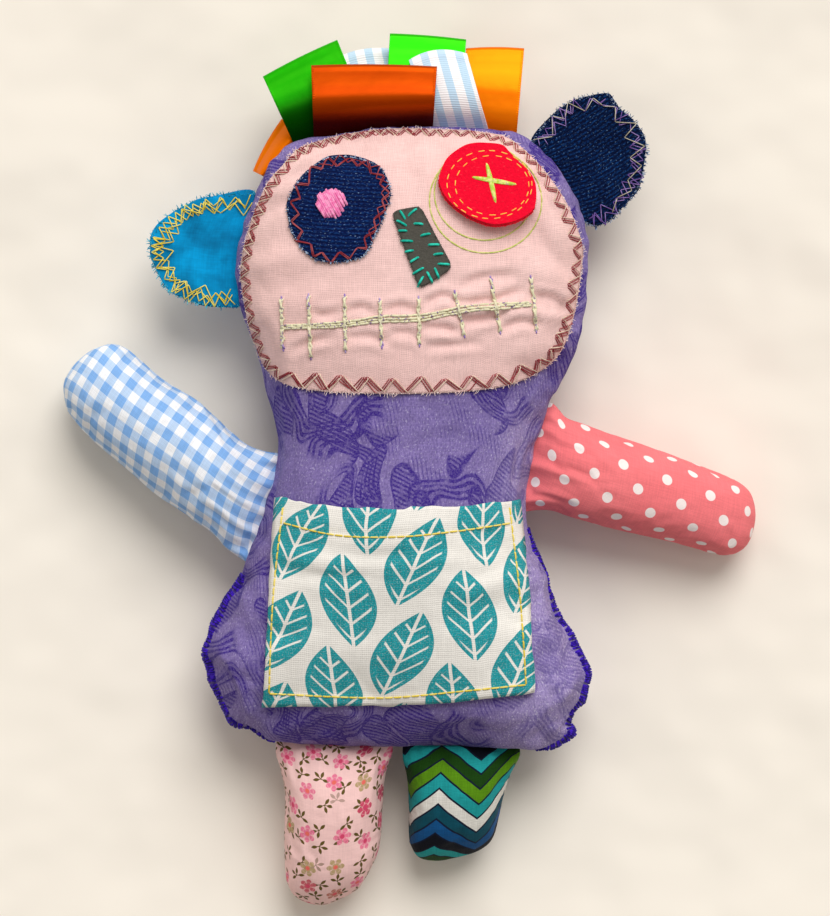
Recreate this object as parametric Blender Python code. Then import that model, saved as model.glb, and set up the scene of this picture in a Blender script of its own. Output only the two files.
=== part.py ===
"""A handmade rag doll lying on its back, in metres, +Z up.

The face looks to +Z, the head points to +Y and the back rests on the floor at Z = 0.
Places in the plan are taken from the middle of the bottom seam: X across, Y up the body.
"""

import bisect
import math

import bmesh
import bpy
from mathutils import Matrix, Vector

MM = 0.001

PURPLE = (0.18, 0.13, 0.40)
FIBRE_WHITE = (0.85, 0.85, 0.83)
LINEN_PINK = (0.75, 0.46, 0.44)
DARK_RED = (0.28, 0.04, 0.06)
DARK_DENIM = (0.02, 0.04, 0.13)
BRIGHT_PINK = (0.90, 0.30, 0.52)
FELT_RED = (0.72, 0.01, 0.04)
OLIVE_YELLOW = (0.55, 0.55, 0.08)
CHARCOAL = (0.05, 0.05, 0.06)
CREAM = (0.80, 0.76, 0.62)
PALE_TEAL = (0.35, 0.58, 0.58)
YELLOW = (0.75, 0.58, 0.08)
VIOLET = (0.03, 0.01, 0.42)
TURQUOISE = (0.01, 0.27, 0.55)
LILAC = (0.50, 0.42, 0.65)
PALE_BLUE = (0.62, 0.73, 0.90)
CORAL = (0.87, 0.22, 0.28)
PALE_PINK = (0.90, 0.68, 0.68)
TEAL = (0.10, 0.42, 0.48)
ORANGE = (0.90, 0.20, 0.01)
GREEN = (0.01, 0.50, 0.02)

# Body bag: two purple panels joined at a side seam, with filling inside.
BODY_LENGTH = 189 * MM
HEAD_WIDTH = 107 * MM
WAIST_WIDTH = 75 * MM
HIP_WIDTH = 118.5 * MM
SEAM_HEIGHT = 24 * MM
BELLY_DEPTH = 31 * MM
WAIST_DEPTH = 26 * MM
HEAD_DEPTH = 29 * MM
HOLLOW_OF_BACK = 3 * MM
FLAT_CUT = 0.5 * MM
CLOTH = 0.4 * MM
CLEARANCE = 0.3 * MM
BODY_COLUMNS = 14
BODY_ROWS = 20
FRONT_ROUNDNESS = (2.3, 4.0)
BACK_ROUNDNESS = (4.0, 8.0)

# Each point: the width that it follows, its share of that width, its share of the body length.
BOTTOM_EDGE_SHARES = (
    (HIP_WIDTH, -0.425, 0.031),
    (HIP_WIDTH, -0.367, 0.024),
    (HIP_WIDTH, -0.292, 0.002),
    (HIP_WIDTH, -0.117, -0.005),
    (HIP_WIDTH, 0.017, -0.002),
    (HIP_WIDTH, 0.150, 0.002),
    (HIP_WIDTH, 0.288, 0.000),
    (HIP_WIDTH, 0.371, -0.001),
    (HIP_WIDTH, 0.426, 0.012),
)
RIGHT_EDGE_SHARES = (
    (HIP_WIDTH, 0.460, 0.039),
    (HIP_WIDTH, 0.485, 0.085),
    (HIP_WIDTH, 0.500, 0.130),
    (HIP_WIDTH, 0.456, 0.188),
    (HIP_WIDTH, 0.403, 0.238),
    (HIP_WIDTH, 0.375, 0.287),
    (WAIST_WIDTH, 0.540, 0.333),
    (WAIST_WIDTH, 0.495, 0.384),
    (WAIST_WIDTH, 0.512, 0.472),
    (WAIST_WIDTH, 0.547, 0.527),
    (HEAD_WIDTH, 0.430, 0.592),
    (HEAD_WIDTH, 0.480, 0.659),
    (HEAD_WIDTH, 0.500, 0.762),
    (HEAD_WIDTH, 0.498, 0.829),
    (HEAD_WIDTH, 0.467, 0.892),
)
TOP_EDGE_SHARES = (
    (HEAD_WIDTH, 0.393, 0.947),
    (HEAD_WIDTH, 0.308, 0.990),
    (HEAD_WIDTH, 0.206, 1.000),
    (HEAD_WIDTH, 0.059, 1.000),
    (HEAD_WIDTH, -0.122, 0.992),
    (HEAD_WIDTH, -0.299, 0.977),
    (HEAD_WIDTH, -0.372, 0.958),
)
LEFT_EDGE_SHARES = (
    (HEAD_WIDTH, -0.432, 0.913),
    (HEAD_WIDTH, -0.470, 0.855),
    (HEAD_WIDTH, -0.486, 0.815),
    (HEAD_WIDTH, -0.498, 0.759),
    (HEAD_WIDTH, -0.478, 0.685),
    (HEAD_WIDTH, -0.437, 0.635),
    (HEAD_WIDTH, -0.395, 0.565),
    (WAIST_WIDTH, -0.519, 0.508),
    (WAIST_WIDTH, -0.505, 0.468),
    (WAIST_WIDTH, -0.545, 0.381),
    (HIP_WIDTH, -0.403, 0.273),
    (HIP_WIDTH, -0.460, 0.204),
    (HIP_WIDTH, -0.500, 0.143),
    (HIP_WIDTH, -0.470, 0.085),
)
# Shares of the side seam from hip to head: the three depths of the front, and where the back lies flat.
BELLY_SHARE = 0.26
WAIST_SHARE = 0.50
HEAD_SHARE = 0.74
REST_SHARES = (0.35, 0.65)

# Threads.
THREAD_RADIUS = 0.4 * MM
ZIGZAG_PITCH = 5 * MM
ZIGZAG_NEAR = 0.6 * MM
ZIGZAG_FAR = 3 * MM
STITCH_STEP = 5 * MM

# Face. Outline points are shares of the head width across and of the body length up.
FACE_CLOTH = 0.5 * MM
PATCH_GAP = 0.55 * MM
FACE_EDGE_SHARES = (
    (-0.398, 0.606), (-0.350, 0.588), (-0.270, 0.573), (-0.113, 0.567), (0.080, 0.570), (0.200, 0.579),
    (0.316, 0.599), (0.412, 0.638), (0.457, 0.694), (0.482, 0.783), (0.475, 0.828),
    (0.406, 0.905), (0.300, 0.968), (0.193, 0.984), (-0.036, 0.984), (-0.200, 0.972), (-0.333, 0.950),
    (-0.396, 0.925), (-0.442, 0.884), (-0.476, 0.828), (-0.484, 0.761), (-0.468, 0.717), (-0.424, 0.645),
)
FACE_CORNERS = (0, 6, 11, 17)
FACE_COLUMNS = 15
FACE_ROWS = 15

DENIM_EYE_WIDTH = 31 * MM
DENIM_EYE_HEIGHT = 32 * MM
DENIM_EYE_PLACE_SHARES = (-0.214, 0.859)
DENIM_CLOTH = 0.6 * MM
PUPIL_SIZE = 8.5 * MM
PUPIL_PLACE_SHARES = (-0.237, 0.870)
PUPIL_PADDING = 0.8 * MM
ROUND_POINTS = 12
EYE_COLUMNS = 6
PUPIL_COLUMNS = 3
EYE_ZIGZAG_PITCH = 4 * MM

BUTTON_DIAMETER = 30 * MM
BUTTON_THICKNESS = 2.5 * MM
BUTTON_PLACE_SHARES = (0.206, 0.905)
BUTTON_GAP = 0.6 * MM
BUTTON_SIDES = 28
CROSS_LENGTH = 13.5 * MM
CROSS_WIDTH = 1.4 * MM
CROSS_THICKNESS = 0.7 * MM
CROSS_TURN = math.radians(-8)

NOSE_CLOTH = 1 * MM
NOSE_COLUMNS = 2
NOSE_ROWS = 4
NOSE_EDGE_SHARES = ((0.023, 0.740), (0.109, 0.773), (0.014, 0.868), (-0.057, 0.858))

MOUTH_BAR_SHARES = (
    (-0.362, 0.717, 0.627), (-0.286, 0.723, 0.616), (-0.184, 0.724, 0.629), (-0.081, 0.722, 0.639),
    (0.024, 0.726, 0.642), (0.142, 0.740, 0.662), (0.241, 0.764, 0.671), (0.350, 0.768, 0.674),
)
MOUTH_LINE_SHARES = (0.667, 0.672, 0.677, 0.685, 0.691, 0.704, 0.713, 0.720)
STRAND_SPACING = 1.2 * MM

# Pocket, sewn on at its sides and bottom, gaping at the mouth.
POCKET_WIDTH = 72 * MM
POCKET_HEIGHT = 63 * MM
POCKET_BOTTOM_SHARE = 0.058
POCKET_EDGE_SHARES = (
    (-0.550, 0.000), (-0.070, 0.035), (0.400, 0.110), (0.586, 0.116),
    (0.462, 1.030), (0.060, 0.975), (-0.156, 0.950), (-0.518, 0.995),
)
POCKET_CORNERS = (0, 3, 4, 7)
POCKET_CLOTH = 0.6 * MM
POCKET_GAPE = 7.5 * MM
POCKET_SIDE_POWER = 0.8
POCKET_OPENING_PACE = 1.1
POCKET_COLUMNS = 13
POCKET_ROWS = 11
POCKET_STITCH_SHARES = (0.045, 0.955, 0.045, 0.87)
POCKET_STITCH_STEPS = 14

# Whip stitching round the edge of the two lower side seams.
WHIP_RADIUS = 0.45 * MM
WHIP_PITCH = 3.2 * MM
WHIP_REACH = 3 * MM
WHIP_STAND = 1.1 * MM
WHIP_LEFT_SHARES = (0.27, 0.045)
WHIP_RIGHT_SHARES = (0.30, 0.055)

# Limbs: a cover sewn flat into the seam, filled from there out to a round tip.
LIMB_SIDES = 14
LIMB_ROOT_THICKNESS = 1.4 * MM
SEAM_GAP = 0.95 * MM
LIMB_ROUND_SHARES = (0.0, 0.55, 0.85, 0.97)
LIMB_FLARE_SHARES = (0.0, 0.12, 0.3, 0.5, 0.75, 1.0)
LIMB_FLOOR_GAP = 0.2 * MM
ARM_SEAM_SHARES = ((0.279, 0.466), (0.560, 0.381))
LEG_SEAM_SHARES = ((-0.300, 0.000), (0.030, 0.325))
# Name, seam, heading in the plan, length, root and tip diameters, length of the flare and of the tip, colour.
LIMBS = (
    ("gingham_arm", "left", math.radians(148.8), 72 * MM, 30 * MM, 29 * MM, 28 * MM, 9 * MM, PALE_BLUE),
    ("polka_dot_arm", "right", math.radians(-14.3), 69 * MM, 28 * MM, 23 * MM, 28 * MM, 8 * MM, CORAL),
    ("floral_leg", "bottom_left", math.radians(-90.5), 49 * MM, 30 * MM, 27 * MM, 26 * MM, 11 * MM, PALE_PINK),
    ("print_leg", "bottom_right", math.radians(-93.5), 34 * MM, 29 * MM, 25 * MM, 21 * MM, 9 * MM, TEAL),
)

# Ears: two layers of cloth each, edged by a zigzag thread.
EAR_CLOTH = 0.5 * MM
EAR_ZIGZAG_NEAR = 1 * MM
EAR_ZIGZAG_FAR = 4 * MM
EAR_ZIGZAG_PITCH = 4 * MM
TURQUOISE_EAR_LENGTH = 27 * MM
TURQUOISE_EAR_SEAM_SHARES = (0.700, 0.882)
# Across from the seam as a share of the ear's length, up as a share of the body length.
TURQUOISE_EAR_SHARES = (
    (0.02, 0.882), (0.21, 0.875), (0.42, 0.868), (0.62, 0.856), (0.80, 0.838), (0.95, 0.815),
    (1.00, 0.790), (0.97, 0.765), (0.84, 0.728), (0.62, 0.706), (0.38, 0.698), (0.15, 0.697), (0.03, 0.700),
)
DENIM_EAR_LENGTH = 27 * MM
DENIM_EAR_WIDTH = 30 * MM
DENIM_EAR_SEAM_SHARES = (0.850, 0.982)
# Out from the seam as a share of the ear's length, along the seam as a share of its width.
DENIM_EAR_SHARES = (
    (0.03, -0.52), (0.28, -0.58), (0.62, -0.52), (0.88, -0.34), (1.00, -0.08),
    (0.98, 0.18), (0.86, 0.42), (0.60, 0.58), (0.30, 0.60), (0.03, 0.52),
)

# Ribbon loops: folded lengths sewn into the top seam, stacked from front to back.
RIBBON = 0.5 * MM
WIDE_RIBBON = 38 * MM
MEDIUM_RIBBON = 25 * MM
GATHERED_RIBBON = 23 * MM
NARROW_RIBBON = 17.5 * MM
LOOP_THICKNESS = 5.8 * MM
LOOP_ROOT_THICKNESS = 1.3 * MM
LAYER_STEP = 6.8 * MM
LAYER_ROOT_STEP = 2.6 * MM
LAYER_FAN = 12 * MM
LOOP_STRAIGHT_SHARES = (0.0, 0.25, 0.5, 0.75, 1.0)
LOOP_TURN_STEPS = 5
LOOP_COLUMNS = 4
LOOP_SEAM_GAP = 0.4 * MM
LOOP_OPENING_PACE = 1.35
# Name, share of the head width where its middle leaves the seam, lean, width, length, layer, colour.
RIBBON_LOOPS = (
    ("orange_front_loop", -0.131, math.radians(2), WIDE_RIBBON, 18 * MM, 1.5, ORANGE),
    ("green_left_loop", -0.255, math.radians(28.5), MEDIUM_RIBBON, 21 * MM, 0.5, GREEN),
    ("striped_right_loop", 0.085, math.radians(-5), MEDIUM_RIBBON, 20.5 * MM, 0.5, PALE_BLUE),
    ("orange_left_loop", -0.392, math.radians(56), NARROW_RIBBON, 9.5 * MM, -0.8, ORANGE),
    ("green_back_loop", 0.008, math.radians(-1), GATHERED_RIBBON, 26 * MM, -0.5, GREEN),
    ("orange_right_loop", 0.215, math.radians(-1), NARROW_RIBBON, 24 * MM, -0.5, ORANGE),
    ("striped_back_loop", -0.140, math.radians(21), MEDIUM_RIBBON, 18 * MM, -1.6, PALE_BLUE),
)
SPRUNG_LOOPS = ("orange_front_loop", "orange_left_loop", "orange_right_loop", "striped_back_loop")

FRONT = 1
BACK = -1
CURVE_STEPS = 8
SEAM_STEPS = 20
EAR_SEAM_STEPS = 8
NEWTON_STEPS = 14
SLOPE_STEP_SHARE = 0.003
MERGE_SHARE = 0.0003
UP = Vector((0, 0, 1))


def clear_scene():
    for obj in list(bpy.data.objects):
        bpy.data.objects.remove(obj, do_unlink=True)


def smooth(share):
    """Eases from 0 to 1."""
    share = min(max(share, 0.0), 1.0)
    return share * share * (3 - 2 * share)


def blend(low, high, share):
    return low + (high - low) * share


class Edge:
    """A line through points, read by the share of its length."""

    def __init__(self, points):
        self.points = points
        self.reach = [0.0]
        for first, second in zip(points, points[1:]):
            self.reach.append(self.reach[-1] + (second - first).length)
        self.length = self.reach[-1]

    def at(self, share):
        along = min(max(share, 0.0), 1.0) * self.length
        index = min(max(bisect.bisect_right(self.reach, along), 1), len(self.points) - 1)
        low, high = self.reach[index - 1], self.reach[index]
        return self.points[index - 1].lerp(self.points[index], (along - low) / (high - low))

    def heading(self, share):
        return (self.at(share + SLOPE_STEP_SHARE) - self.at(share - SLOPE_STEP_SHARE)).normalized()

    def share_where(self, axis, value):
        """The first share of the length at which one coordinate passes a value."""
        for index, (first, second) in enumerate(zip(self.points, self.points[1:])):
            if (first[axis] - value) * (second[axis] - value) <= 0:
                part = (value - first[axis]) / (second[axis] - first[axis])
                return (self.reach[index] + part * (second - first).length) / self.length
        return 1.0


class Outline:
    """A closed outline, anticlockwise from its bottom left corner, and a place for every (u, v) inside it."""

    def __init__(self, points, corners, rounded=True):
        steps = CURVE_STEPS if rounded else 1
        count = len(points)
        curve = []
        for index in range(count):
            near = [points[(index + offset) % count] for offset in (-1, 0, 1, 2)]
            for step in range(steps):
                curve.append(spline_point(near, step / steps))
        curve.append(curve[0])
        marks = [corner * steps for corner in corners]
        self.border = Edge(curve)
        self.bottom = Edge(curve[marks[0] : marks[1] + 1])
        self.right = Edge(curve[marks[1] : marks[2] + 1])
        self.top = Edge(curve[marks[2] : marks[3] + 1][::-1])
        self.left = Edge(curve[marks[3] :][::-1])

    def inside(self, u, v):
        across = self.left.at(v).lerp(self.right.at(v), u)
        along = self.bottom.at(u).lerp(self.top.at(u), v)
        low = self.bottom.at(0).lerp(self.bottom.at(1), u)
        high = self.top.at(0).lerp(self.top.at(1), u)
        return across + along - low.lerp(high, v)

    def shares_of(self, x, y):
        """The (u, v) of a place, found by Newton's steps."""
        u, v = 0.5, y / BODY_LENGTH
        step = SLOPE_STEP_SHARE
        for _ in range(NEWTON_STEPS):
            here = self.inside(u, v)
            by_u = (self.inside(u + step, v) - self.inside(u - step, v)) / (2 * step)
            by_v = (self.inside(u, v + step) - self.inside(u, v - step)) / (2 * step)
            missing = Vector((x, y)) - here
            area = by_u.x * by_v.y - by_u.y * by_v.x
            u += (missing.x * by_v.y - missing.y * by_v.x) / area
            v += (by_u.x * missing.y - by_u.y * missing.x) / area
            u = min(max(u, step), 1 - step)
            v = min(max(v, step), 1 - step)
        return u, v


def spline_point(near, t):
    """A point of the smooth curve from near[1] to near[2]."""
    before, start, end, after = near
    bend = 2 * before - 5 * start + 4 * end - after
    twist = 3 * start - before - 3 * end + after
    return (2 * start + (end - before) * t + bend * t**2 + twist * t**3) / 2


def body_outline():
    rows = BOTTOM_EDGE_SHARES + RIGHT_EDGE_SHARES + TOP_EDGE_SHARES + LEFT_EDGE_SHARES
    points = [Vector((width * across, BODY_LENGTH * up)) for width, across, up in rows]
    right = len(BOTTOM_EDGE_SHARES)
    top = right + len(RIGHT_EDGE_SHARES)
    left = top + len(TOP_EDGE_SHARES)
    return Outline(points, (0, right, top, left))


def head_place(across_share, up_share):
    return Vector((HEAD_WIDTH * across_share, BODY_LENGTH * up_share))


BODY = body_outline()


def depth_at(side, v):
    """How far the middle of a panel stands from the seam, at a share of the side seam."""
    if side == BACK:
        belly = head = SEAM_HEIGHT + FLAT_CUT
        waist = belly - HOLLOW_OF_BACK
        low, high = REST_SHARES
    else:
        belly, waist, head = BELLY_DEPTH, WAIST_DEPTH, HEAD_DEPTH
        low, high = BELLY_SHARE, HEAD_SHARE
    if v < WAIST_SHARE:
        return blend(belly, waist, smooth((v - low) / (WAIST_SHARE - low)))
    return blend(waist, head, smooth((v - WAIST_SHARE) / (high - WAIST_SHARE)))


def bare_point(side, u, v):
    """A place on the outside of a panel."""
    across_power, up_power = FRONT_ROUNDNESS if side == FRONT else BACK_ROUNDNESS
    across = 1 - abs(2 * u - 1) ** across_power
    up = 1 - abs(2 * v - 1) ** up_power
    joint = across + up - across * up
    fullness = across * up / joint if joint > 0 else 0
    plan = BODY.inside(u, v)
    rise = CLEARANCE / 2 + depth_at(side, v) * math.sqrt(max(fullness, 0.0))
    return Vector((plan.x, plan.y, max(SEAM_HEIGHT + side * rise, 0.0)))


def outward(side, u, v):
    """The outward direction of a panel: level at the seam, and square to the surface elsewhere."""
    if u in (0.0, 1.0):
        along = (BODY.left if u == 0.0 else BODY.right).heading(v)
        return Vector((-along.y, along.x, 0)) if u == 0.0 else Vector((along.y, -along.x, 0))
    if v in (0.0, 1.0):
        along = (BODY.bottom if v == 0.0 else BODY.top).heading(u)
        return Vector((along.y, -along.x, 0)) if v == 0.0 else Vector((-along.y, along.x, 0))
    step = SLOPE_STEP_SHARE
    by_u = bare_point(side, min(u + step, 1), v) - bare_point(side, max(u - step, 0), v)
    by_v = bare_point(side, u, min(v + step, 1)) - bare_point(side, u, max(v - step, 0))
    return by_u.cross(by_v).normalized() * side


def body_point(side, u, v, lift):
    return bare_point(side, u, v) + outward(side, u, v) * lift


def on_front(x, y, lift):
    """The place that lies over (x, y) on the front panel, lifted off it."""
    u, v = BODY.shares_of(x, y)
    return body_point(FRONT, u, v, lift)


def material(name, color, roughness=0.85):
    made = bpy.data.materials.new(name)
    made.use_nodes = True
    shader = made.node_tree.nodes["Principled BSDF"]
    shader.inputs["Base Color"].default_value = (*color, 1)
    shader.inputs["Roughness"].default_value = roughness
    shader.inputs["Metallic"].default_value = 0
    return made


def add_object(name, data, color, parent):
    obj = bpy.data.objects.new(name, data)
    bpy.context.scene.collection.objects.link(obj)
    data.materials.append(material(name, color))
    obj.parent = parent
    obj.matrix_parent_inverse = parent.matrix_world.inverted()
    return obj


def add_mesh(name, bm, color, parent):
    bmesh.ops.recalc_face_normals(bm, faces=bm.faces)
    if bm.calc_volume(signed=True) < 0:
        bmesh.ops.reverse_faces(bm, faces=bm.faces)
    mesh = bpy.data.meshes.new(name)
    bm.to_mesh(mesh)
    bm.free()
    mesh.shade_smooth()
    return add_object(name, mesh, color, parent)


def add_thread(name, points, radius, color, parent, closed=False):
    """A thread along points, as a tube of four sides."""
    curve = bpy.data.curves.new(name, "CURVE")
    curve.dimensions = "3D"
    curve.bevel_depth = radius
    curve.bevel_resolution = 0
    curve.use_fill_caps = True
    spline = curve.splines.new("POLY")
    spline.points.add(len(points) - 1)
    for spot, point in zip(spline.points, points):
        spot.co = (*point, 1)
    spline.use_cyclic_u = closed
    return add_object(name, curve, color, parent)


def add_pivot(name, place, axis, parent):
    """An empty on a hinge line, with its own X along it."""
    pivot = bpy.data.objects.new(name, None)
    bpy.context.scene.collection.objects.link(pivot)
    side = axis.cross(UP).normalized()
    turn = Matrix((axis.normalized(), side, axis.cross(side).normalized())).transposed()
    pivot.matrix_world = Matrix.Translation(place) @ turn.to_4x4()
    pivot.parent = parent
    bpy.context.view_layer.update()
    return pivot


def cloth_grid(columns, rows, low, high):
    """A flat block of quads over the unit square, with its faces at two heights."""
    bm = bmesh.new()
    bmesh.ops.create_grid(bm, x_segments=columns, y_segments=rows, size=0.5)
    grown = bmesh.ops.extrude_face_region(bm, geom=bm.faces[:])["geom"]
    upper = {part for part in grown if isinstance(part, bmesh.types.BMVert)}
    for vert in bm.verts:
        u = eased_share(vert.co.x + 0.5, columns)
        v = eased_share(vert.co.y + 0.5, rows)
        vert.co = (u, v, high if vert in upper else low)
    return bm


def eased_share(share, count):
    """Moves evenly spaced lines towards both ends, where the cloth curves most."""
    line = round(share * count)
    if line in (0, count):
        return float(line == count)
    return (1 - math.cos(math.pi * line / count)) / 2


def bend(bm, place_of):
    """Moves each vertex to where place_of puts its flat coordinates."""
    for vert in bm.verts:
        vert.co = place_of(*vert.co)
    return bm


def add_body(parent):
    panels = ((FRONT, "body_front_panel"), (BACK, "body_back_panel"))
    for side, name in panels:
        bm = cloth_grid(BODY_COLUMNS, BODY_ROWS, -CLOTH, 0)
        bend(bm, lambda u, v, lift, side=side: body_point(side, u, v, lift))
        add_mesh(name, bm, PURPLE, parent)
    inset = CLOTH + CLEARANCE
    bm = cloth_grid(BODY_COLUMNS, BODY_ROWS, BACK, FRONT)
    bend(bm, lambda u, v, side: body_point(round(side), u, v, -inset))
    add_mesh("body_stuffing", bm, FIBRE_WHITE, parent)


def zigzag(border, pitch, near, far):
    """Plan points that run to and fro between two insets of a closed, anticlockwise border."""
    count = round(border.length / pitch)
    points = []
    for index in range(2 * count):
        share = index / (2 * count)
        along = border.heading(share)
        inward = Vector((-along.y, along.x))
        points.append(border.at(share) + inward * (near if index % 2 else far))
    return points


def oval(centre, width, height):
    """An oval outline, with its corners a quarter turn apart."""
    points = []
    for index in range(ROUND_POINTS):
        angle = 2 * math.pi * index / ROUND_POINTS - 0.75 * math.pi
        points.append(centre + Vector((math.cos(angle) * width / 2, math.sin(angle) * height / 2)))
    quarter = ROUND_POINTS // 4
    return Outline(points, (0, quarter, 2 * quarter, 3 * quarter))


def add_patch(name, outline, columns, rows, low, thickness, color, parent):
    """A cloth patch that follows the front panel."""
    bm = cloth_grid(columns, rows, low, low + thickness)

    def place_of(u, v, lift):
        plan = outline.inside(u, v)
        return on_front(plan.x, plan.y, lift)

    return add_mesh(name, bend(bm, place_of), color, parent)


def add_face(parent):
    face = Outline([head_place(*shares) for shares in FACE_EDGE_SHARES], FACE_CORNERS)
    add_patch("face_patch", face, FACE_COLUMNS, FACE_ROWS, PATCH_GAP, FACE_CLOTH, LINEN_PINK, parent)
    face_top = PATCH_GAP + FACE_CLOTH
    thread_lift = face_top + CLEARANCE + THREAD_RADIUS
    edge = zigzag(face.border, ZIGZAG_PITCH, ZIGZAG_NEAR, ZIGZAG_FAR)
    points = [on_front(point.x, point.y, thread_lift) for point in edge]
    add_thread("face_edge_stitching", points, THREAD_RADIUS, DARK_RED, parent, closed=True)

    eye = oval(head_place(*DENIM_EYE_PLACE_SHARES), DENIM_EYE_WIDTH, DENIM_EYE_HEIGHT)
    low = face_top + CLEARANCE
    add_patch("denim_eye_patch", eye, EYE_COLUMNS, EYE_COLUMNS, low, DENIM_CLOTH, DARK_DENIM, parent)
    eye_top = low + DENIM_CLOTH
    lift = eye_top + CLEARANCE + THREAD_RADIUS
    edge = zigzag(eye.border, EYE_ZIGZAG_PITCH, ZIGZAG_NEAR, ZIGZAG_FAR)
    points = [on_front(point.x, point.y, lift) for point in edge]
    add_thread("denim_eye_edge_stitching", points, THREAD_RADIUS, DARK_RED, parent, closed=True)

    pupil = oval(head_place(*PUPIL_PLACE_SHARES), PUPIL_SIZE, PUPIL_SIZE)
    base = eye_top + CLEARANCE
    name = "pupil_satin_stitching"
    add_patch(name, pupil, PUPIL_COLUMNS, PUPIL_COLUMNS, base, PUPIL_PADDING, BRIGHT_PINK, parent)

    nose = Outline([head_place(*shares) for shares in NOSE_EDGE_SHARES], (0, 1, 2, 3), rounded=False)
    add_patch("nose_patch", nose, NOSE_COLUMNS, NOSE_ROWS, low, NOSE_CLOTH, CHARCOAL, parent)
    add_mouth(thread_lift, parent)
    add_button(face_top, parent)


def add_mouth(lift, parent):
    """One thread: along the line, and at each bar up, down past the line and up again."""
    plan = []
    for (across, top, bottom), line in zip(MOUTH_BAR_SHARES, MOUTH_LINE_SHARES):
        middle = head_place(across, line)
        side = Vector((STRAND_SPACING, 0))
        high = head_place(across, top)
        low = head_place(across, bottom)
        plan += [middle - side, high - side, high, middle, low, low + side, middle + side]
    points = []
    for first, second in zip(plan, plan[1:]):
        steps = max(round((second - first).length / STITCH_STEP), 1)
        points += [first.lerp(second, step / steps) for step in range(steps)]
    points = [on_front(point.x, point.y, lift) for point in points]
    add_thread("mouth_embroidery", points, THREAD_RADIUS, CREAM, parent)


def add_button(face_top, parent):
    """The felt button lies flat over the curve of the face, held by the cross stitch at its middle."""
    centre = head_place(*BUTTON_PLACE_SHARES)
    seat = on_front(centre.x, centre.y, face_top + BUTTON_GAP)
    facing = (seat - on_front(centre.x, centre.y, 0)).normalized()
    across = (Vector((1, 0, 0)) - facing * facing.x).normalized()
    pivot = add_pivot("felt_button_tilt", seat, across, parent)
    turn = Matrix((across, facing.cross(across), facing)).transposed().to_4x4()

    bm = bmesh.new()
    radius = BUTTON_DIAMETER / 2
    middle = Matrix.Translation(seat + facing * (BUTTON_THICKNESS / 2)) @ turn
    size = {"radius1": radius, "radius2": radius, "depth": BUTTON_THICKNESS}
    bmesh.ops.create_cone(bm, cap_ends=True, segments=BUTTON_SIDES, matrix=middle, **size)
    add_mesh("felt_button_eye", bm, FELT_RED, pivot)

    bm = bmesh.new()
    arm, half = CROSS_LENGTH / 2, CROSS_WIDTH / 2
    corner = ((arm, -half), (arm, half), (half, half))
    plus = []
    for quarter in range(4):
        spin = Matrix.Rotation(math.pi / 2 * quarter + CROSS_TURN, 3, "Z")
        plus += [bm.verts.new(spin @ Vector((*point, 0))) for point in corner]
    face = bm.faces.new(plus)
    grown = bmesh.ops.extrude_face_region(bm, geom=[face])["geom"]
    upper = [part for part in grown if isinstance(part, bmesh.types.BMVert)]
    bmesh.ops.translate(bm, verts=upper, vec=UP * CROSS_THICKNESS)
    place = Matrix.Translation(seat + facing * (BUTTON_THICKNESS + CLEARANCE)) @ turn
    bmesh.ops.transform(bm, matrix=place, verts=bm.verts)
    add_mesh("felt_button_cross_stitch", bm, OLIVE_YELLOW, pivot)


def pocket_lift(u, v):
    """The pocket lies on the belly at its sewn edges and stands off it towards its mouth."""
    rounding = math.sin(math.pi * u) ** POCKET_SIDE_POWER
    return PATCH_GAP + POCKET_GAPE * rounding * smooth(v * POCKET_OPENING_PACE)


def add_pocket(parent):
    base = Vector((0, BODY_LENGTH * POCKET_BOTTOM_SHARE))
    points = [base + Vector((POCKET_WIDTH * x, POCKET_HEIGHT * y)) for x, y in POCKET_EDGE_SHARES]
    outline = Outline(points, POCKET_CORNERS, rounded=False)

    def place_of(u, v, lift):
        plan = outline.inside(u, v)
        return on_front(plan.x, plan.y, pocket_lift(u, v) + lift)

    bm = cloth_grid(POCKET_COLUMNS, POCKET_ROWS, 0, POCKET_CLOTH)
    add_mesh("pocket", bend(bm, place_of), PALE_TEAL, parent)

    left, right, low, high = POCKET_STITCH_SHARES
    corners = [Vector(spot) for spot in ((left, low), (right, low), (right, high), (left, high))]
    lift = POCKET_CLOTH + CLEARANCE + THREAD_RADIUS
    points = []
    for first, second in zip(corners, corners[1:] + corners[:1]):
        for step in range(POCKET_STITCH_STEPS):
            share = first.lerp(second, step / POCKET_STITCH_STEPS)
            points.append(place_of(share.x, share.y, lift))
    add_thread("pocket_topstitching", points, THREAD_RADIUS, YELLOW, parent, closed=True)


def add_whip_stitching(parent):
    """A thread wound over the lower side seams, from the front to the back and round again."""
    sides = (
        ("left_side_whip_stitching", BODY.left, WHIP_LEFT_SHARES, -1),
        ("right_side_whip_stitching", BODY.right, WHIP_RIGHT_SHARES, 1),
    )
    for name, edge, (high, low), out in sides:
        start = edge.share_where(1, BODY_LENGTH * high)
        end = edge.share_where(1, BODY_LENGTH * low)
        count = round((start - end) * edge.length / WHIP_PITCH)
        points = []
        for index in range(2 * count + 1):
            share = blend(start, end, index / (2 * count))
            along = edge.heading(share)
            away = Vector((along.y, -along.x, 0)) * out
            plan = edge.at(share)
            rise = WHIP_REACH * (1 if index % 2 else -1)
            points.append(Vector((plan.x, plan.y, SEAM_HEIGHT + rise)) + away * WHIP_STAND)
        add_thread(name, points, WHIP_RADIUS, VIOLET, parent)


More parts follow.
